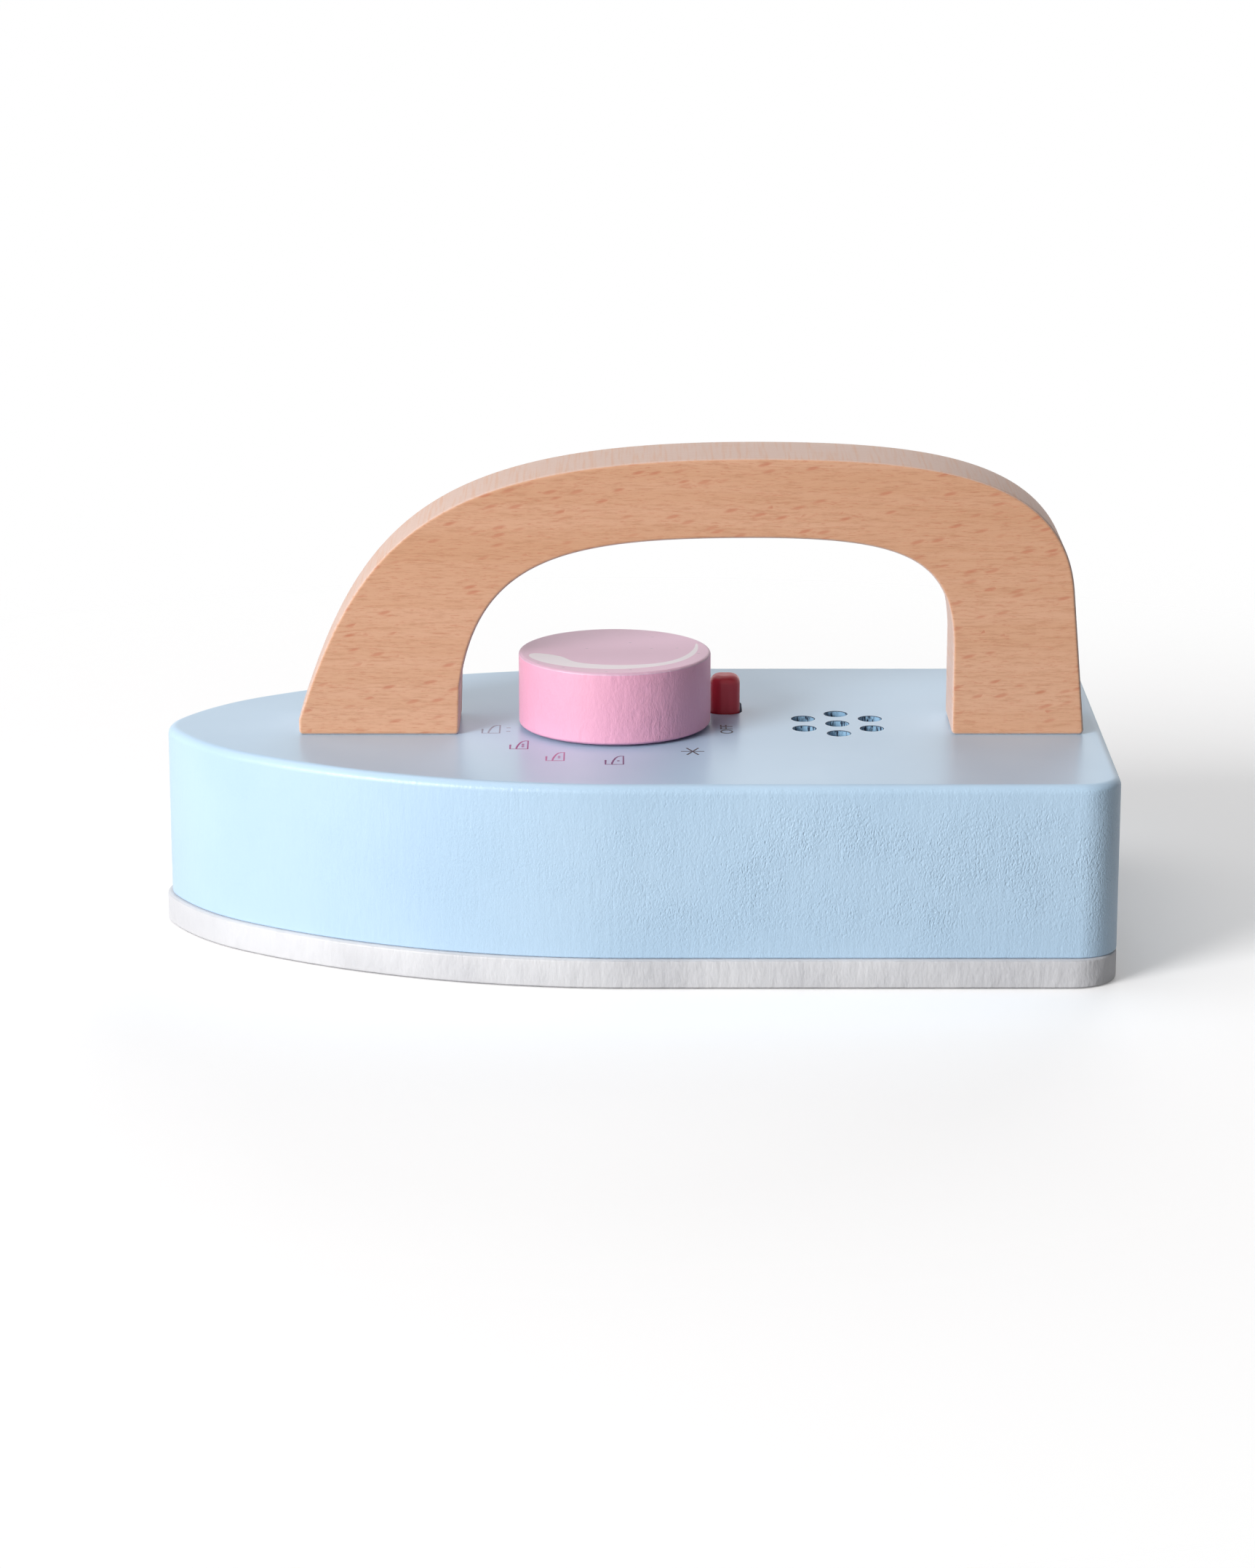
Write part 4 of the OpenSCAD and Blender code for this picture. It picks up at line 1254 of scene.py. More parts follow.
@dataclass
class Body:
    """Painted wooden block with its pocket, sound holes, switch slot and screw holes."""

    plan: Plan = field(default_factory=Plan)
    low: float = 5.0
    top: float = 34.5
    ceiling: float = 28.5
    edge_r: float = 1.5
    edge_steps: int = 8
    seam_r: float = 0.3
    seam_steps: int = 3
    flat_rim: float = 0.3
    pocket: tuple[float, float, float, float] = (-13.6, 58.25, 45.0, 6.0)
    pocket_steps: int = 10
    grille_x: float = 35.2
    hole_r: float = 1.95
    hole_pitch: float = 6.65
    hole_count: int = 6
    hole_lip: float = 0.13
    hole_steps: int = 36
    lip_steps: int = 5
    slot_place: Point = (16.1, 11.2)
    slot_size: Point3 = (5.7, 9.6, 2.3)
    slot_lip: float = 0.12
    slot_steps: int = 8
    dial_x: float = -3.0
    spindle_hole_r: float = 3.08
    handle_screw_xs: Span = (-43.1, 65.55)
    handle_screw_r: float = 2.02
    head_room_r: float = 4.3
    head_level: float = 14.5
    pilot_places: tuple[Point, ...] = ((-61.6, 0.0), (-23.6, -28.25), (-23.6, 28.25), (68.4, -28.25),
                                       (68.4, 28.25))
    pilot_r: float = 1.77
    pilot_level: float = 20.4

    def lipped(self, solid: Solid, loop: Callable[[float], Loop], lip: float,
               finish: int) -> tuple[Ring, Ring]:
        """Cuts a hole with a softened rim through the top wall.

        Args:
            solid: The body that is cut.
            loop: Gives the hole's outline grown by a distance.
            lip: Radius of the softened rim.
            finish: Finish number of the hole's wall.

        Returns:
            The hole's ring in the top face and its ring in the pocket's ceiling.
        """
        edge = Outline.round_edge(lip, self.lip_steps)
        rings = [solid.ring(loop(lip + self.flat_rim), self.top)]
        rings += [solid.ring(loop(inset), self.top - drop) for inset, drop in edge]
        low = solid.ring(loop(0.0), self.ceiling)
        solid.bands(rings[:2], Wall.PAINTED)
        # The softened rim takes the wall's finish too, so the wall's painted shade reaches up to the top
        # face.
        solid.bands([*rings[1:], low], finish)
        return rings[0], low

    def cut_top(self, solid: Solid) -> list[tuple[Ring, Ring]]:
        """Cuts the sound holes, the switch slot and the spindle's hole.

        Args:
            solid: The body that is cut.

        Returns:
            Each hole's ring in the top face and its ring in the pocket's ceiling.
        """
        spots = [(self.grille_x, 0.0)]
        for i in range(self.hole_count):
            turn = math.radians(FULL_TURN * i / self.hole_count + QUARTER_TURN)
            spots.append((self.grille_x + self.hole_pitch * math.cos(turn),
                          self.hole_pitch * math.sin(turn)))
        pairs = [self.lipped(solid, lambda g, c=c: Outline.circle(c, self.hole_r + g, self.hole_steps),
                             self.hole_lip, Wall.BORED) for c in spots]
        width, length, radius = self.slot_size
        pairs.append(self.lipped(solid, lambda g: Outline.rounded_rect(
            self.slot_place, width + 2 * g, length + 2 * g, radius + g, self.slot_steps),
            self.slot_lip, Wall.SLOT))
        rows = [(self.spindle_hole_r, z) for z in (self.top, self.ceiling)]
        top, low = solid.bore((self.dial_x, 0.0), rows, self.hole_steps, Wall.BORED)
        return [*pairs, (top, low)]

    def build(self) -> bpy.types.Object:
        """Makes the body as one closed mesh with painted faces and bored walls.

        Returns:
            The linked object.
        """
        solid = Solid()
        levels = Outline.sides(self.low, self.top, (self.seam_r, self.edge_r),
                               (self.seam_steps, self.edge_steps), self.flat_rim)
        skin = [solid.ring(self.plan.loop(-inset), z) for inset, z in levels]
        solid.bands(skin, Wall.PAINTED)
        pairs = self.cut_top(solid)
        top_holes = [top for top, _ in pairs]
        low_holes = []
        for x in self.handle_screw_xs:
            rows = ((self.head_room_r, self.low), (self.head_room_r, self.head_level),
                    (self.handle_screw_r, self.head_level), (self.handle_screw_r, self.top))
            stack = solid.bore((x, 0.0), rows, self.hole_steps, Wall.BORED)
            low_holes.append(stack[0])
            top_holes.append(stack[-1])
        for place in self.pilot_places:
            rows = [(self.pilot_r, z) for z in (self.low, self.pilot_level)]
            stack = solid.bore(place, rows, self.hole_steps, Wall.BORED)
            solid.fill(stack[-1], finish=Wall.BORED)
            low_holes.append(stack[0])
        x0, x1, wide, corner = self.pocket
        pocket = Outline.rounded_rect(((x0 + x1) / 2, 0.0), x1 - x0, wide, corner, self.pocket_steps)
        foot, ceiling = solid.walls(pocket, (self.low, self.ceiling), Wall.BORED)
        solid.fill(ceiling, [low for _, low in pairs], Wall.BORED)
        solid.fill(skin[-1], top_holes, Wall.PAINTED)
        solid.fill(skin[0], [*low_holes, foot], Wall.BORED)
        return solid.to_object("painted_body", [BODY_BLUE.build(), BORED.build(), SHADED_SLOT_WALL.build()])

    def dress(self) -> None:
        """Builds the body and lets it stand for its solid."""
        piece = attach(self.build(), "root")
        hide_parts("body_block")
        LOG.info("body: %d faces", len(piece.data.polygons))


@dataclass
class Sole:
    """Painted plate under the body, with its screw holes and battery opening."""

    plan: Plan = field(default_factory=Plan)
    thickness: float = 5.0
    lip: float = 0.8
    edge_r: float = 0.5
    edge_steps: int = 5
    flat_rim: float = 0.3
    opening: tuple[float, float, float, float] = (-6.8, 55.45, 27.8, 2.2)
    opening_steps: int = 8
    screw_places: tuple[Point, ...] = Body.pilot_places
    head_r: float = 3.52
    shank_r: float = 1.77
    recess: float = 0.2
    head_h: float = 1.75
    steps: int = 36

    def build(self) -> bpy.types.Object:
        """Makes the sole as one closed mesh.

        Returns:
            The linked object.
        """
        solid = Solid()
        levels = Outline.sides(0.0, self.thickness, (self.edge_r, self.edge_r),
                               (self.edge_steps, self.edge_steps), self.flat_rim)
        skin = [solid.ring(self.plan.loop(self.lip - inset, self.lip), z) for inset, z in levels]
        solid.bands(skin)
        low_holes, top_holes = [], []
        rows = ((self.head_r, 0.0), (self.head_r, self.recess), (self.shank_r, self.recess + self.head_h),
                (self.shank_r, self.thickness))
        for place in self.screw_places:
            stack = solid.bore(place, rows, self.steps)
            low_holes.append(stack[0])
            top_holes.append(stack[-1])
        x0, x1, wide, corner = self.opening
        opening = Outline.rounded_rect(((x0 + x1) / 2, 0.0), x1 - x0, wide, corner, self.opening_steps)
        low, top = solid.walls(opening, (0.0, self.thickness))
        solid.fill(skin[0], [*low_holes, low])
        solid.fill(skin[-1], [*top_holes, top])
        return solid.to_object("painted_sole", [SOLE_WHITE.build()])

    def dress(self) -> None:
        """Builds the sole and lets it stand for its solid."""
        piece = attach(self.build(), "root")
        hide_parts("sole_plate")
        LOG.info("sole: %d faces", len(piece.data.polygons))


@dataclass
class Handle:
    """Beech arch sawn from a flat board, with rounded edges."""

    x: float = -56.7
    foot_z: float = 34.5
    length: float = 133.5
    height: float = 47.8
    thickness: float = 15.0
    front_foot: float = 27.2
    rear_foot: float = 22.5
    grip: float = 13.7
    edge_r: float = 0.5
    corner_extra: float = 0.25
    flat_rim: float = 0.2
    steps: int = 56
    corner_steps: int = 8
    edge_steps: int = 8
    front_curve: tuple[Point, ...] = ((0.0, 0.055), (0.078, 0.724), (0.175, 1.0), (0.578, 1.0))
    rear_curve: tuple[Point, ...] = ((0.578, 1.0), (0.801, 1.0), (0.97, 0.944), (0.984, 0.523))
    arch_rear: tuple[Point, ...] = ((1.0, 0.455), (0.996, 0.893), (0.907, 1.0), (0.596, 1.0))
    arch_front: tuple[Point, ...] = ((0.596, 1.0), (0.225, 1.0), (0.042, 0.914), (0.003, 0.25))

    @staticmethod
    def spread(rows: Sequence[Point], start: float, length: float, height: float) -> Loop:
        """Control points from their shares of a length and a height."""
        return [(start + u * length, v * height) for u, v in rows]

    def profile(self) -> Loop:
        """Draws the side view of the handle from its front foot, clockwise.

        Returns:
            The points in order.
        """
        arch_l = self.length - self.front_foot - self.rear_foot
        arch_h = self.height - self.grip
        front = self.spread(self.front_curve, 0.0, self.length, self.height)
        rear = self.spread(self.rear_curve, 0.0, self.length, self.height)
        back = self.spread(self.arch_rear, self.front_foot, arch_l, arch_h)
        fore = self.spread(self.arch_front, self.front_foot, arch_l, arch_h)
        front_out, front_in = (0.0, 0.0), (self.front_foot, 0.0)
        rear_in, rear_out = (self.front_foot + arch_l, 0.0), (self.length, 0.0)
        radius, n = self.edge_r + self.corner_extra, self.corner_steps
        return (Outline.fillet(front_in, front_out, front[0], radius, n)
                + Outline.bezier(front, self.steps) + Outline.bezier(rear, self.steps, 1)
                + Outline.fillet(rear[-1], rear_out, rear_in, radius, n)
                + Outline.fillet(rear_out, rear_in, back[0], radius, n)
                + Outline.bezier(back, self.steps) + Outline.bezier(fore, self.steps, 1)
                + Outline.fillet(fore[-1], front_in, front_out, radius, n))

    def build(self) -> bpy.types.Object:
        """Makes the handle as one closed mesh.

        Returns:
            The linked object.
        """
        solid = Solid(lambda u, v, level: (self.x + u, level, self.foot_z + v))
        loop = self.profile()
        half = self.thickness / 2
        levels = Outline.sides(-half, half, (self.edge_r, self.edge_r),
                               (self.edge_steps, self.edge_steps), self.flat_rim)
        rings = [solid.ring(Outline.drawn_in(loop, inset), y) for inset, y in levels]
        solid.bands(rings)
        solid.strip(rings[0])
        solid.strip(rings[-1])
        return solid.to_object("beech_handle", [BEECH.build()])

    def dress(self) -> None:
        """Builds the handle and lets it stand for its solid."""
        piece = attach(self.build(), "root")
        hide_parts("handle")
        LOG.info("handle: %d faces", len(piece.data.polygons))


@dataclass
class Dial:
    """Turned knob with its spindle bore."""

    centre: Point = (-3.0, 0.0)
    low: float = 34.9
    top: float = 47.4
    radius: float = 16.4
    edge_r: float = 0.5
    foot_r: float = 0.6
    edge_steps: int = 6
    bore_r: float = 2.02
    bore_top: float = 43.65
    flat_rim: float = 0.3
    steps: int = 180

    def build(self) -> bpy.types.Object:
        """Makes the knob as one turned mesh.

        Returns:
            The linked object.
        """
        sides = Outline.sides(self.low, self.top, (self.foot_r, self.edge_r),
                              (self.edge_steps, self.edge_steps), self.flat_rim)
        profile = [(0.0, self.bore_top), (self.bore_r, self.bore_top), (self.bore_r, self.low),
                   *((self.radius - inset, z) for inset, z in sides), (0.0, self.top)]
        solid = Solid()
        solid.lathe(profile, self.centre, self.steps)
        return solid.to_object("painted_dial", [DIAL_PINK.build()])

    def dress(self) -> None:
        """Builds the knob and lets it stand for its solid."""
        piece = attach(self.build(), "dial")
        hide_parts("dial_knob")
        LOG.info("dial: %d faces", len(piece.data.polygons))


@dataclass
class SwitchCap:
    """Moulded cap of the slide switch, in its off place."""

    centre: Point = (16.1, 9.2)
    size: Point = (5.1, 5.0)
    low: float = 30.0
    top: float = 41.0
    corner_r: float = 2.0
    edge_r: float = 1.4
    edge_steps: int = 10
    corner_steps: int = 12
    flat_rim: float = 0.2

    def outline(self, inset: float) -> Loop:
        """Outline of the cap drawn in by a distance."""
        return Outline.rounded_rect(self.centre, self.size[0] - 2 * inset, self.size[1] - 2 * inset,
                                    self.corner_r - inset, self.corner_steps)

    def build(self) -> bpy.types.Object:
        """Makes the cap as one closed mesh.

        Returns:
            The linked object.
        """
        solid = Solid()
        edge = Outline.round_edge(self.edge_r, self.edge_steps)
        levels = [(0.0, self.low)] + [(inset, self.top - drop) for inset, drop in reversed(edge)]
        levels.append((self.edge_r + self.flat_rim, self.top))
        rings = [solid.ring(self.outline(inset), z) for inset, z in levels]
        solid.bands(rings)
        solid.fill(rings[0])
        solid.fill(rings[-1])
        return solid.to_object("red_switch_cap", [CAP_RED.build()])

    def dress(self) -> None:
        """Builds the cap and lets it stand for its solid."""
        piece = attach(self.build(), "switch")
        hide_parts("switch_cap")
        LOG.info("switch cap: %d faces", len(piece.data.polygons))


class GeometryTree:
    """A Geometry Nodes tree that turns guide points or lines into a plain mesh."""

    def __init__(self, name: str, inputs: dict[str, str]) -> None:
        """Makes an empty tree with named inputs.

        Args:
            name: Name of the tree.
            inputs: Socket type by input name.
        """
        self.tree = bpy.data.node_groups.new(name, "GeometryNodeTree")
        face = self.tree.interface
        face.new_socket("Geometry", in_out="INPUT", socket_type="NodeSocketGeometry")
        face.new_socket("Geometry", in_out="OUTPUT", socket_type="NodeSocketGeometry")
        self.ids = {label: face.new_socket(label, in_out="INPUT", socket_type=kind).identifier
                    for label, kind in inputs.items()}
        self.graph = Graph(self.tree)
        self.entry = self.graph.node("NodeGroupInput")
        self.leave = self.graph.node("NodeGroupOutput")

    def end(self, geometry: Socket) -> None:
        """Closes the tree with realised instances and its material.

        Args:
            geometry: What the tree has made.
        """
        real = self.graph.wire("GeometryNodeRealizeInstances", {0: geometry})
        dressed = self.graph.wire("GeometryNodeSetMaterial", {
            "Geometry": real, "Material": self.entry.outputs["Material"]})
        self.graph.feed(self.leave.inputs["Geometry"], dressed)

    def bake(self, name: str, points: Sequence[Point3], edges: Sequence[tuple[int, int]],
             values: dict[str, object]) -> bpy.types.Object:
        """Runs the tree on guide points and keeps the result as a plain mesh.

        Args:
            name: Name of the piece.
            points: Guide points in millimetres.
            edges: Guide lines between them.
            values: Values by input name.

        Returns:
            The finished object, with no modifier left.
        """
        guide_mesh = bpy.data.meshes.new(f"{name}_guide")
        guide_mesh.from_pydata([tuple(c * MM for c in p) for p in points], list(edges), [])
        guide = bpy.data.objects.new(f"{name}_guide", guide_mesh)
        modifier = guide.modifiers.new("shape", "NODES")
        modifier.node_group = self.tree
        for label, value in values.items():
            modifier[self.ids[label]] = value
        mesh = plain_mesh(guide)
        mesh.name = name
        return link_mesh(name, mesh)


@dataclass
class Screws:
    """Countersunk cross-head screws seen under the sole."""

    places: tuple[Point, ...] = Body.pilot_places
    sole_size: tuple[float, float, float, float] = (7.0, 1.75, 3.5, 20.0)
    sole_level: float = 0.2
    door_place: Point = (49.25, 0.0)
    door_size: tuple[float, float, float, float] = (4.4, 1.1, 2.2, 8.0)
    door_level: float = 0.4
    recess_share: Point = (0.56, 0.14)
    seed: int = 4
    head_sides: int = 48
    shank_sides: int = 32

    def tree(self) -> GeometryTree:
        """Builds the tree of one screw, set point up at each guide point.

        Returns:
            The tree.
        """
        made = GeometryTree("countersunk_screws", {
            "Head diameter": FLOAT, "Head height": FLOAT, "Shank diameter": FLOAT, "Length": FLOAT,
            "Recess length": FLOAT, "Recess width": FLOAT, "Seed": "NodeSocketInt",
            "Material": "NodeSocketMaterial"})
        graph, given = made.graph, made.entry.outputs
        head_h = given["Head height"]
        shank_r = graph.half(given["Shank diameter"])
        head = graph.wire("GeometryNodeMeshCone", {
            "Vertices": self.head_sides, "Radius Top": shank_r,
            "Radius Bottom": graph.half(given["Head diameter"]), "Depth": head_h}, "Mesh")
        cut = graph.node("GeometryNodeMeshBoolean", operation="DIFFERENCE")
        graph.feed(cut.inputs["Mesh 1"], head)
        for sides in (("Recess length", "Recess width"), ("Recess width", "Recess length")):
            size = graph.wire("ShaderNodeCombineXYZ", {
                "X": given[sides[0]], "Y": given[sides[1]], "Z": head_h})
            graph.feed(cut.inputs["Mesh 2"], graph.wire("GeometryNodeMeshCube", {"Size": size}, "Mesh"))
        shank_l = graph.math("SUBTRACT", given["Length"], head_h)
        shank = graph.wire("GeometryNodeMeshCylinder", {
            "Vertices": self.shank_sides, "Radius": shank_r, "Depth": shank_l}, "Mesh")
        lift = graph.wire("ShaderNodeCombineXYZ", {"Z": graph.math("ADD", head_h, graph.half(shank_l))})
        shank = graph.wire("GeometryNodeTransform", {"Geometry": shank, "Translation": lift})
        join = graph.node("GeometryNodeJoinGeometry")
        for part in (cut.outputs["Mesh"], shank):
            graph.feed(join.inputs[0], part)
        turn = graph.wire("FunctionNodeRandomValue", {
            "Min": (0.0, 0.0, 0.0), "Max": (0.0, 0.0, math.pi), "Seed": given["Seed"]}, "Value",
            data_type="FLOAT_VECTOR")
        made.end(graph.wire("GeometryNodeInstanceOnPoints", {
            "Points": given["Geometry"], "Instance": join.outputs[0], "Rotation": turn}))
        return made

    def dress(self) -> None:
        """Sets the sole screws and the door screw in place of their solids."""
        tree = self.tree()
        steel = SLOT_FINISHES["steel"].build()
        rows = (("sole_cross_screws", "sole_screws", self.places, self.sole_level, self.sole_size),
                ("door_cross_screw", "door_screw", (self.door_place,), self.door_level, self.door_size))
        for name, node, places, level, (head_d, head_h, shank_d, length) in rows:
            piece = tree.bake(name, [(x, y, level) for x, y in places], [], {
                "Head diameter": head_d * MM, "Head height": head_h * MM, "Shank diameter": shank_d * MM,
                "Length": length * MM, "Recess length": self.recess_share[0] * head_d * MM,
                "Recess width": self.recess_share[1] * head_d * MM, "Seed": self.seed, "Material": steel})
            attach(piece, "root")
            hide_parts(node)
            LOG.info("%s: %d faces", name, len(piece.data.polygons))


@dataclass
class BatteryDoor:
    """Moulded door in the sole, with finger grooves and its screw hole."""

    low: float = 0.4
    thickness: float = 2.0
    size: Point3 = (59.84, 25.4, 1.0)
    middle_x: float = 24.33
    edge_r: float = 0.3
    corner_steps: int = 8
    edge_steps: int = 4
    tab: Point3 = (1.0, 8.0, 1.0)
    tab_root: float = 0.4
    screw_x: float = 49.25
    screw_r: float = 1.12
    screw_steps: int = 36
    head_r: float = 2.22
    head_h: float = 1.1
    groove_size: Point3 = (1.0, 12.7, 0.45)
    groove_steps: int = 6
    groove_depth: float = 0.4
    groove_xs: tuple[float, ...] = (43.35, 40.95, 38.55, 36.15)

    def outline(self, inset: float) -> Loop:
        """Outline of the door drawn in by a distance."""
        length, width, radius = self.size
        return Outline.rounded_rect((self.middle_x, 0.0), length - 2 * inset, width - 2 * inset,
                                    radius - inset, self.corner_steps)

    def build(self) -> bpy.types.Object:
        """Makes the door as one closed mesh.

        Returns:
            The linked object.
        """
        solid = Solid()
        high = self.low + self.thickness
        edge = Outline.round_edge(self.edge_r, self.edge_steps)
        levels = [(inset, self.low + drop) for inset, drop in edge] + [(0.0, high)]
        skin = [solid.ring(self.outline(inset), z) for inset, z in levels]
        solid.bands(skin)
        rows = ((self.head_r, self.low), (self.screw_r, self.low + self.head_h), (self.screw_r, high))
        stack = solid.bore((self.screw_x, 0.0), rows, self.screw_steps)
        holes = [stack[0]]
        for x in self.groove_xs:
            groove = Outline.rounded_rect((x, 0.0), *self.groove_size, self.groove_steps)
            mouth, floor = solid.walls(groove, (self.low, self.low + self.groove_depth))
            solid.fill(floor)
            holes.append(mouth)
        solid.fill(skin[0], holes)
        solid.fill(skin[-1], [stack[-1]])
        reach, wide, tall = self.tab
        front = self.middle_x - self.size[0] / 2
        corners = [(front - reach, -wide / 2), (front + self.tab_root, -wide / 2),
                   (front + self.tab_root, wide / 2), (front - reach, wide / 2)]
        for end in solid.walls(corners, (high - tall, high)):
            solid.fill(end)
        return solid.to_object("moulded_battery_door", [SLOT_FINISHES["case_plastic"].build()])

    def dress(self) -> None:
        """Builds the door and lets it stand for its solid."""
        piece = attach(self.build(), "root")
        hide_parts("battery_door")
        LOG.info("battery door: %d faces", len(piece.data.polygons))


@dataclass
class Prints:
    """Heat signs round the dial and the switch lettering, printed on the top of the body.

    Each iron is its ink, its place and its number of dots; the one with no dot has steam marks. Each
    word is its text, its first and last y, and its lowest and highest x.
    """

    level: float = 34.5
    line: float = 0.35
    line_sides: int = 8
    height: float = 0.05
    dot: float = 0.5
    dot_sides: int = 16
    dot_place: Point = (0.64, -0.4)
    dot_pitch: float = 0.85
    iron_line: tuple[Point, ...] = (
        (-0.45, -2.65), (1.48, -2.65), (1.48, 2.65), (0.95, 2.62), (0.5, 2.2), (0.12, 1.2), (-0.18, -0.2),
        (-0.38, -1.6), (-0.45, -2.65), (-1.48, -2.65), (-1.48, 0.1))
    irons: tuple[tuple[Ink, Point, int], ...] = (
        (Ink.STEEL, (-24.1, -3.8), 0), (Ink.PURPLE, (-19.1, -14.3), 3), (Ink.PINK, (-12.9, -21.9), 2),
        (Ink.PLUM, (-3.0, -24.3), 1))
    steam: tuple[tuple[Point, Point], ...] = (((2.6, -1.4), (3.3, -1.4)), ((2.6, 0.9), (3.3, 0.9)))
    star: Point = (1.95, 2.2)
    star_lean: float = 0.5
    star_place: Point = (10.1, -18.6)
    words: tuple[tuple[str, Span, Span], ...] = (
        ("OFF", (-6.8, -1.0), (15.0, 17.2)), ("ON", (24.2, 28.2), (15.0, 17.2)))
    word_extrude: float = 0.5

    def stroke_tree(self) -> GeometryTree:
        """Builds the tree that lays a flat line of ink along guide lines.

        Returns:
            The tree.
        """
        made = GeometryTree("ink_strokes", {"Line width": FLOAT, "Ink share": FLOAT, "Level": FLOAT,
                                            "Material": "NodeSocketMaterial"})
        graph, given = made.graph, made.entry.outputs
        path = graph.wire("GeometryNodeMeshToCurve", {"Mesh": given["Geometry"]})
        section = graph.wire("GeometryNodeCurvePrimitiveCircle", {
            "Resolution": self.line_sides, "Radius": graph.half(given["Line width"])}, "Curve")
        tube = graph.wire("GeometryNodeCurveToMesh", {
            "Curve": path, "Profile Curve": section, "Fill Caps": True})
        flat = graph.wire("ShaderNodeCombineXYZ", {"X": 1.0, "Y": 1.0, "Z": given["Ink share"]})
        lift = graph.wire("ShaderNodeCombineXYZ", {"Z": given["Level"]})
        made.end(graph.wire("GeometryNodeTransform", {
            "Geometry": tube, "Translation": lift, "Scale": flat}))
        return made

    def dot_tree(self) -> GeometryTree:
        """Builds the tree that sets a flat dot of ink at each guide point.

        Returns:
            The tree.
        """
        made = GeometryTree("ink_dots", {"Dot width": FLOAT, "Ink height": FLOAT,
                                         "Material": "NodeSocketMaterial"})
        graph, given = made.graph, made.entry.outputs
        dot = graph.wire("GeometryNodeMeshCylinder", {
            "Vertices": self.dot_sides, "Radius": graph.half(given["Dot width"]),
            "Depth": given["Ink height"]}, "Mesh")
        made.end(graph.wire("GeometryNodeInstanceOnPoints", {
            "Points": given["Geometry"], "Instance": dot}))
        return made

    def lay_lines(self, tree: GeometryTree, name: str, ink: Ink, lines: Sequence[Sequence[Point]]) -> None:
        """Prints a set of lines in one ink.

        Args:
            tree: The stroke tree.
            name: Name of the piece.
            ink: Its ink.
            lines: Points of each line on the top of the body.
        """
        points: list[Point3] = []
        edges: list[tuple[int, int]] = []
        for line in lines:
            first = len(points)
            points += [(x, y, 0.0) for x, y in line]
            edges += [(first + i, first + i + 1) for i in range(len(line) - 1)]
        piece = tree.bake(name, points, edges, {
            "Line width": self.line * MM, "Ink share": self.height / self.line, "Level": self.level * MM,
            "Material": ink.material()})
        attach(piece, "root")
        LOG.info("%s: %d faces", name, len(piece.data.polygons))

    def lay_dots(self, tree: GeometryTree, name: str, ink: Ink, dots: Sequence[Point]) -> None:
        """Prints a set of dots in one ink.

        Args:
            tree: The dot tree.
            name: Name of the piece.
            ink: Its ink.
            dots: Middle of each dot on the top of the body.
        """
        piece = tree.bake(name, [(x, y, self.level) for x, y in dots], [], {
            "Dot width": self.dot * MM, "Ink height": self.height * MM, "Material": ink.material()})
        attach(piece, "root")
        LOG.info("%s: %d faces", name, len(piece.data.polygons))

    def lay_word(self, text: str, along: Span, across: Span) -> None:
        """Prints a word that reads along +Y.

        Args:
            text: The word.
            along: Its first and last y.
            across: Its lowest and highest x.
        """
        curve = bpy.data.curves.new(f"word_{text}", "FONT")
        curve.body = text
        curve.extrude = self.word_extrude
        mesh = plain_mesh(bpy.data.objects.new(f"word_{text}", curve))
        corners = [v.co.copy() for v in mesh.vertices]
        low = Vector([min(c[i] for c in corners) for i in range(3)])
        high = Vector([max(c[i] for c in corners) for i in range(3)])
        fit = Matrix.Diagonal(((along[1] - along[0]) / (high.x - low.x),
                               (across[1] - across[0]) / (high.y - low.y), self.height, 1.0))
        turn = Matrix.Rotation(math.pi / 2, 4, "Z")
        place = Matrix.Translation((across[1], along[0], self.level))
        mesh.transform(Matrix.Scale(MM, 4) @ place @ turn @ fit @ Matrix.Translation(-low.xy.to_3d()))
        mesh.materials.clear()
        mesh.materials.append(Ink.GREY.material())
        close_mesh(mesh)
        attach(link_mesh(f"print_word_{text.lower()}", mesh), "root")
        LOG.info("word %s printed", text)

    def dress(self) -> None:
        """Prints every sign and word."""
        strokes, dots = self.stroke_tree(), self.dot_tree()
        for ink, (cx, cy), count in self.irons:
            marks = [self.iron_line] if count else [self.iron_line, *self.steam]
            name = ink.value[0]
            lines = [[(cx + x, cy + y) for x, y in mark] for mark in marks]
            self.lay_lines(strokes, f"{name}_iron", ink, lines)
            if count:
                x, y = cx + self.dot_place[0], cy + self.dot_place[1]
                spots = [(x, y + self.dot_pitch * (i - (count - 1) / 2)) for i in range(count)]
                self.lay_dots(dots, f"{name}_dots", ink, spots)
        cx, cy = self.star_place
        wide, tall = self.star
        lean = self.star_lean * wide
        rays = [[(cx - wide, cy), (cx + wide, cy)]]
        rays += [[(cx - side * lean, cy - tall), (cx + side * lean, cy + tall)] for side in (-1.0, 1.0)]
        self.lay_lines(strokes, "print_star", Ink.BROWN, rays)
        for text, along, across in self.words:
            self.lay_word(text, along, across)


@dataclass
class InnerWorks:
    """Carried-over solids: each gets the finish of its own material slot."""

    frame: dict[str, dict]

    def dress(self) -> None:
        """Puts a procedural finish on every solid of the frame."""
        slots = {row["node"]: row["material_slot"] for row in self.frame["record"]["subparts"]}
        for node, piece in self.frame["nodes"].items():
            material = SLOT_FINISHES[slots[node]].build()
            if not piece.material_slots:
                piece.data.materials.append(material)
            for slot in piece.material_slots:
                slot.material = material
        LOG.info("solids dressed: %d", len(slots))


@dataclass(frozen=True)
class Lamp:
    """One soft round lamp."""

    name: str
    place: Point3
    size: float
    power: float
    colour: Colour
    mirrored: bool = True


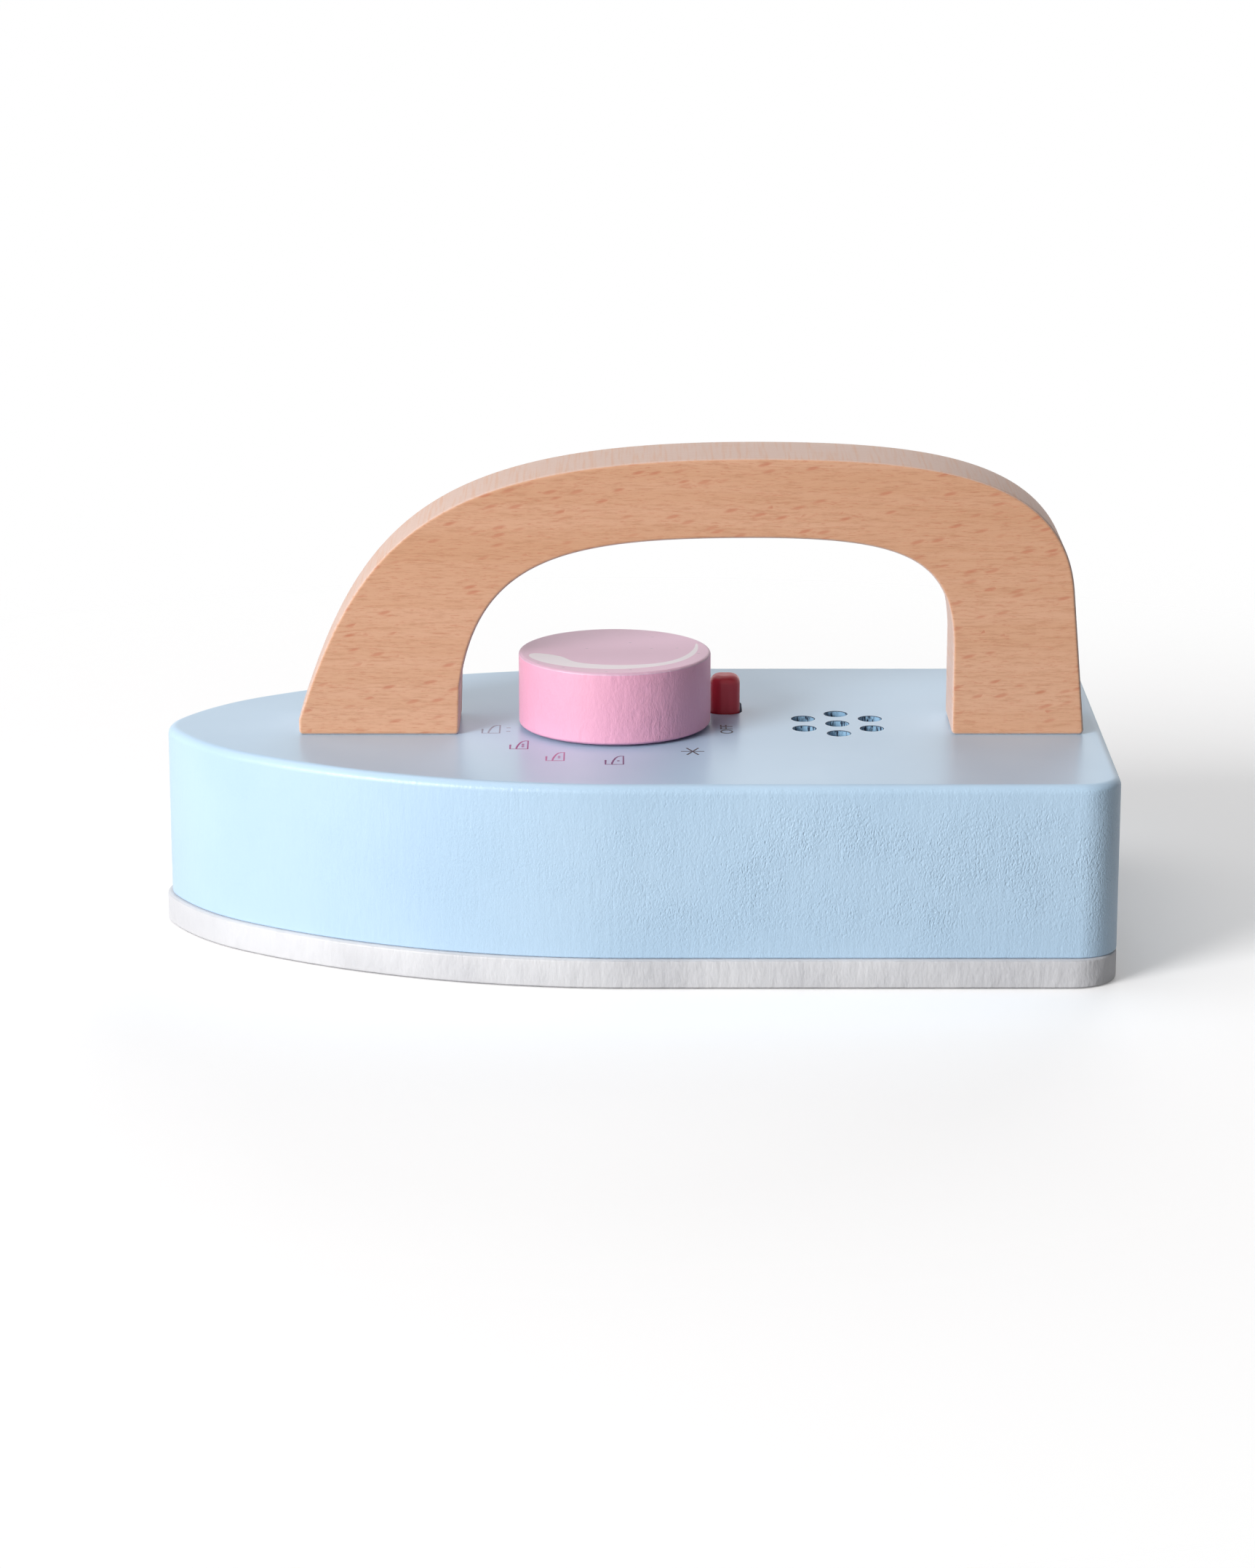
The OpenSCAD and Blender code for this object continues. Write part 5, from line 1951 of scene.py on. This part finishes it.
@dataclass
class Studio:
    """Camera, lamps, world and pale floor."""

    camera_place: Point3 = (-1.3415, -754.343, 230.099)
    camera_dip: float = 0.2670148
    camera_pan: float = -0.0006994
    lens: float = 104.1643
    sensor: float = 36.0
    clip: Span = (0.01, 100.0)
    floor_drop: float = 0.05
    floor_reach: float = 4000.0
    floor_colour: Colour = (0.93, 0.925, 0.93)
    floor_bounce: Colour = (0.54, 0.54, 0.54)
    floor_roughness: float = 0.9
    floor_specular: float = 0.1
    floor_glow: float = 0.2
    fade: Span = (120.0, 340.0)
    ambient: float = 0.1
    aim: Point3 = (0.0, 0.0, 30.0)
    lamps: tuple[Lamp, ...] = (
        Lamp("key", (-1130.0, -1030.0, 600.0), 780.0, 29.5, (1.0, 0.99, 0.98)),
        Lamp("fill", (-450.0, -1000.0, 300.0), 700.0, 0.6, (0.97, 0.985, 1.0)),
        Lamp("back", (200.0, 980.0, 380.0), 600.0, 4.2, (1.0, 1.0, 1.0), mirrored=False))
    sky_from: Point3 = (-420.0, 80.0, 980.0)
    sky_strength: float = 0.76
    sky_spread: float = 52.0

    def set_camera(self) -> None:
        """Puts the camera at the photograph's place and angle."""
        data = bpy.data.cameras.new("camera")
        data.lens = self.lens
        data.sensor_width = self.sensor
        data.sensor_fit = "AUTO"
        data.clip_start, data.clip_end = self.clip
        camera = bpy.data.objects.new("camera", data)
        camera.location = Vector(self.camera_place) * MM
        camera.rotation_euler = (math.pi / 2 - self.camera_dip, 0.0, self.camera_pan)
        bpy.context.scene.collection.objects.link(camera)
        bpy.context.scene.camera = camera

    @staticmethod
    def hang(data: bpy.types.Light, place: Point3, aim: Point3) -> bpy.types.Object:
        """Hangs a lamp.

        Args:
            data: The light.
            place: Where it hangs.
            aim: Where it shines.

        Returns:
            The lamp.
        """
        lamp = bpy.data.objects.new(data.name, data)
        lamp.location = Vector(place) * MM
        lamp.rotation_euler = (Vector(aim) - Vector(place)).to_track_quat("-Z", "Y").to_euler()
        bpy.context.scene.collection.objects.link(lamp)
        return lamp

    def set_lamps(self) -> None:
        """Hangs the soft lamps and the light from above."""
        for lamp in self.lamps:
            data = bpy.data.lights.new(lamp.name, "AREA")
            data.shape = "DISK"
            data.size = lamp.size * MM
            data.energy = lamp.power
            data.color = lamp.colour
            self.hang(data, lamp.place, self.aim).visible_glossy = lamp.mirrored
        sky = bpy.data.lights.new("overhead", "SUN")
        sky.energy = self.sky_strength
        sky.angle = math.radians(self.sky_spread)
        self.hang(sky, self.sky_from, (0.0, 0.0, 0.0))

    @staticmethod
    def seen(graph: Graph) -> Socket:
        """Finds the rays from the camera, in reflections and through clear pieces.

        Args:
            graph: The tree of the world or a material.

        Returns:
            One for those rays, zero for the rest.
        """
        path = graph.node("ShaderNodeLightPath").outputs
        direct = graph.math("MAXIMUM", path["Is Camera Ray"], path["Is Glossy Ray"])
        return graph.math("MAXIMUM", direct, path["Is Transmission Ray"])

    def set_world(self) -> None:
        """White surround for the camera and reflections, with a calmer ambient light."""
        scene = bpy.context.scene
        scene.view_settings.view_transform = "Standard"
        world = bpy.data.worlds.new("studio")
        scene.world = world
        world.use_nodes = True
        graph = Graph(world.node_tree)
        back = world.node_tree.nodes["Background"]
        back.inputs["Color"].default_value = WHITE
        strength = graph.remap(self.seen(graph), 0.0, 1.0, self.ambient, 1.0)
        graph.feed(back.inputs["Strength"], strength)

    def floor_material(self) -> bpy.types.Material:
        """Makes the floor's material, which fades into the white surround.

        Returns:
            The material.
        """
        material = bpy.data.materials.new("pale_floor")
        material.use_nodes = True
        material.cycles.emission_sampling = "NONE"
        shader = material.node_tree.nodes["Principled BSDF"]
        shader.inputs["Roughness"].default_value = self.floor_roughness
        shader.inputs["Specular IOR Level"].default_value = self.floor_specular
        shader.inputs["Emission Color"].default_value = WHITE
        graph = Graph(material.node_tree)
        seen = self.seen(graph)
        graph.feed(shader.inputs["Base Color"], graph.mix(seen, self.floor_bounce, self.floor_colour))
        graph.feed(shader.inputs["Emission Strength"], graph.product(seen, self.floor_glow))
        away = graph.length(graph.node("ShaderNodeTexCoord").outputs["Object"])
        cover = graph.remap(away, self.fade[0] * MM, self.fade[1] * MM, 1.0, 0.0)
        graph.feed(shader.inputs["Alpha"], cover)
        return material

    def set_floor(self) -> None:
        """Lays the pale floor just under the sole."""
        reach = self.floor_reach * MM
        level = -self.floor_drop * MM
        mesh = bpy.data.meshes.new("floor")
        mesh.from_pydata([(-reach, -reach, level), (reach, -reach, level), (reach, reach, level),
                          (-reach, reach, level)], [], [(0, 1, 2, 3)])
        mesh.materials.append(self.floor_material())
        floor = bpy.data.objects.new("floor", mesh)
        bpy.context.scene.collection.objects.link(floor)

    def dress(self) -> None:
        """Sets up the whole studio."""
        self.set_camera()
        self.set_lamps()
        self.set_world()
        self.set_floor()


def main() -> None:
    """Builds the studio and every sub-assembly in order."""
    logging.basicConfig(level=logging.INFO, format="%(name)s: %(message)s")
    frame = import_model()
    Studio().dress()
    InnerWorks(frame).dress()
    for part in (Body(), Sole(), Handle(), Dial(), SwitchCap(), Screws(), BatteryDoor(), Prints()):
        part.dress()


if __name__ == "__main__":
    main()
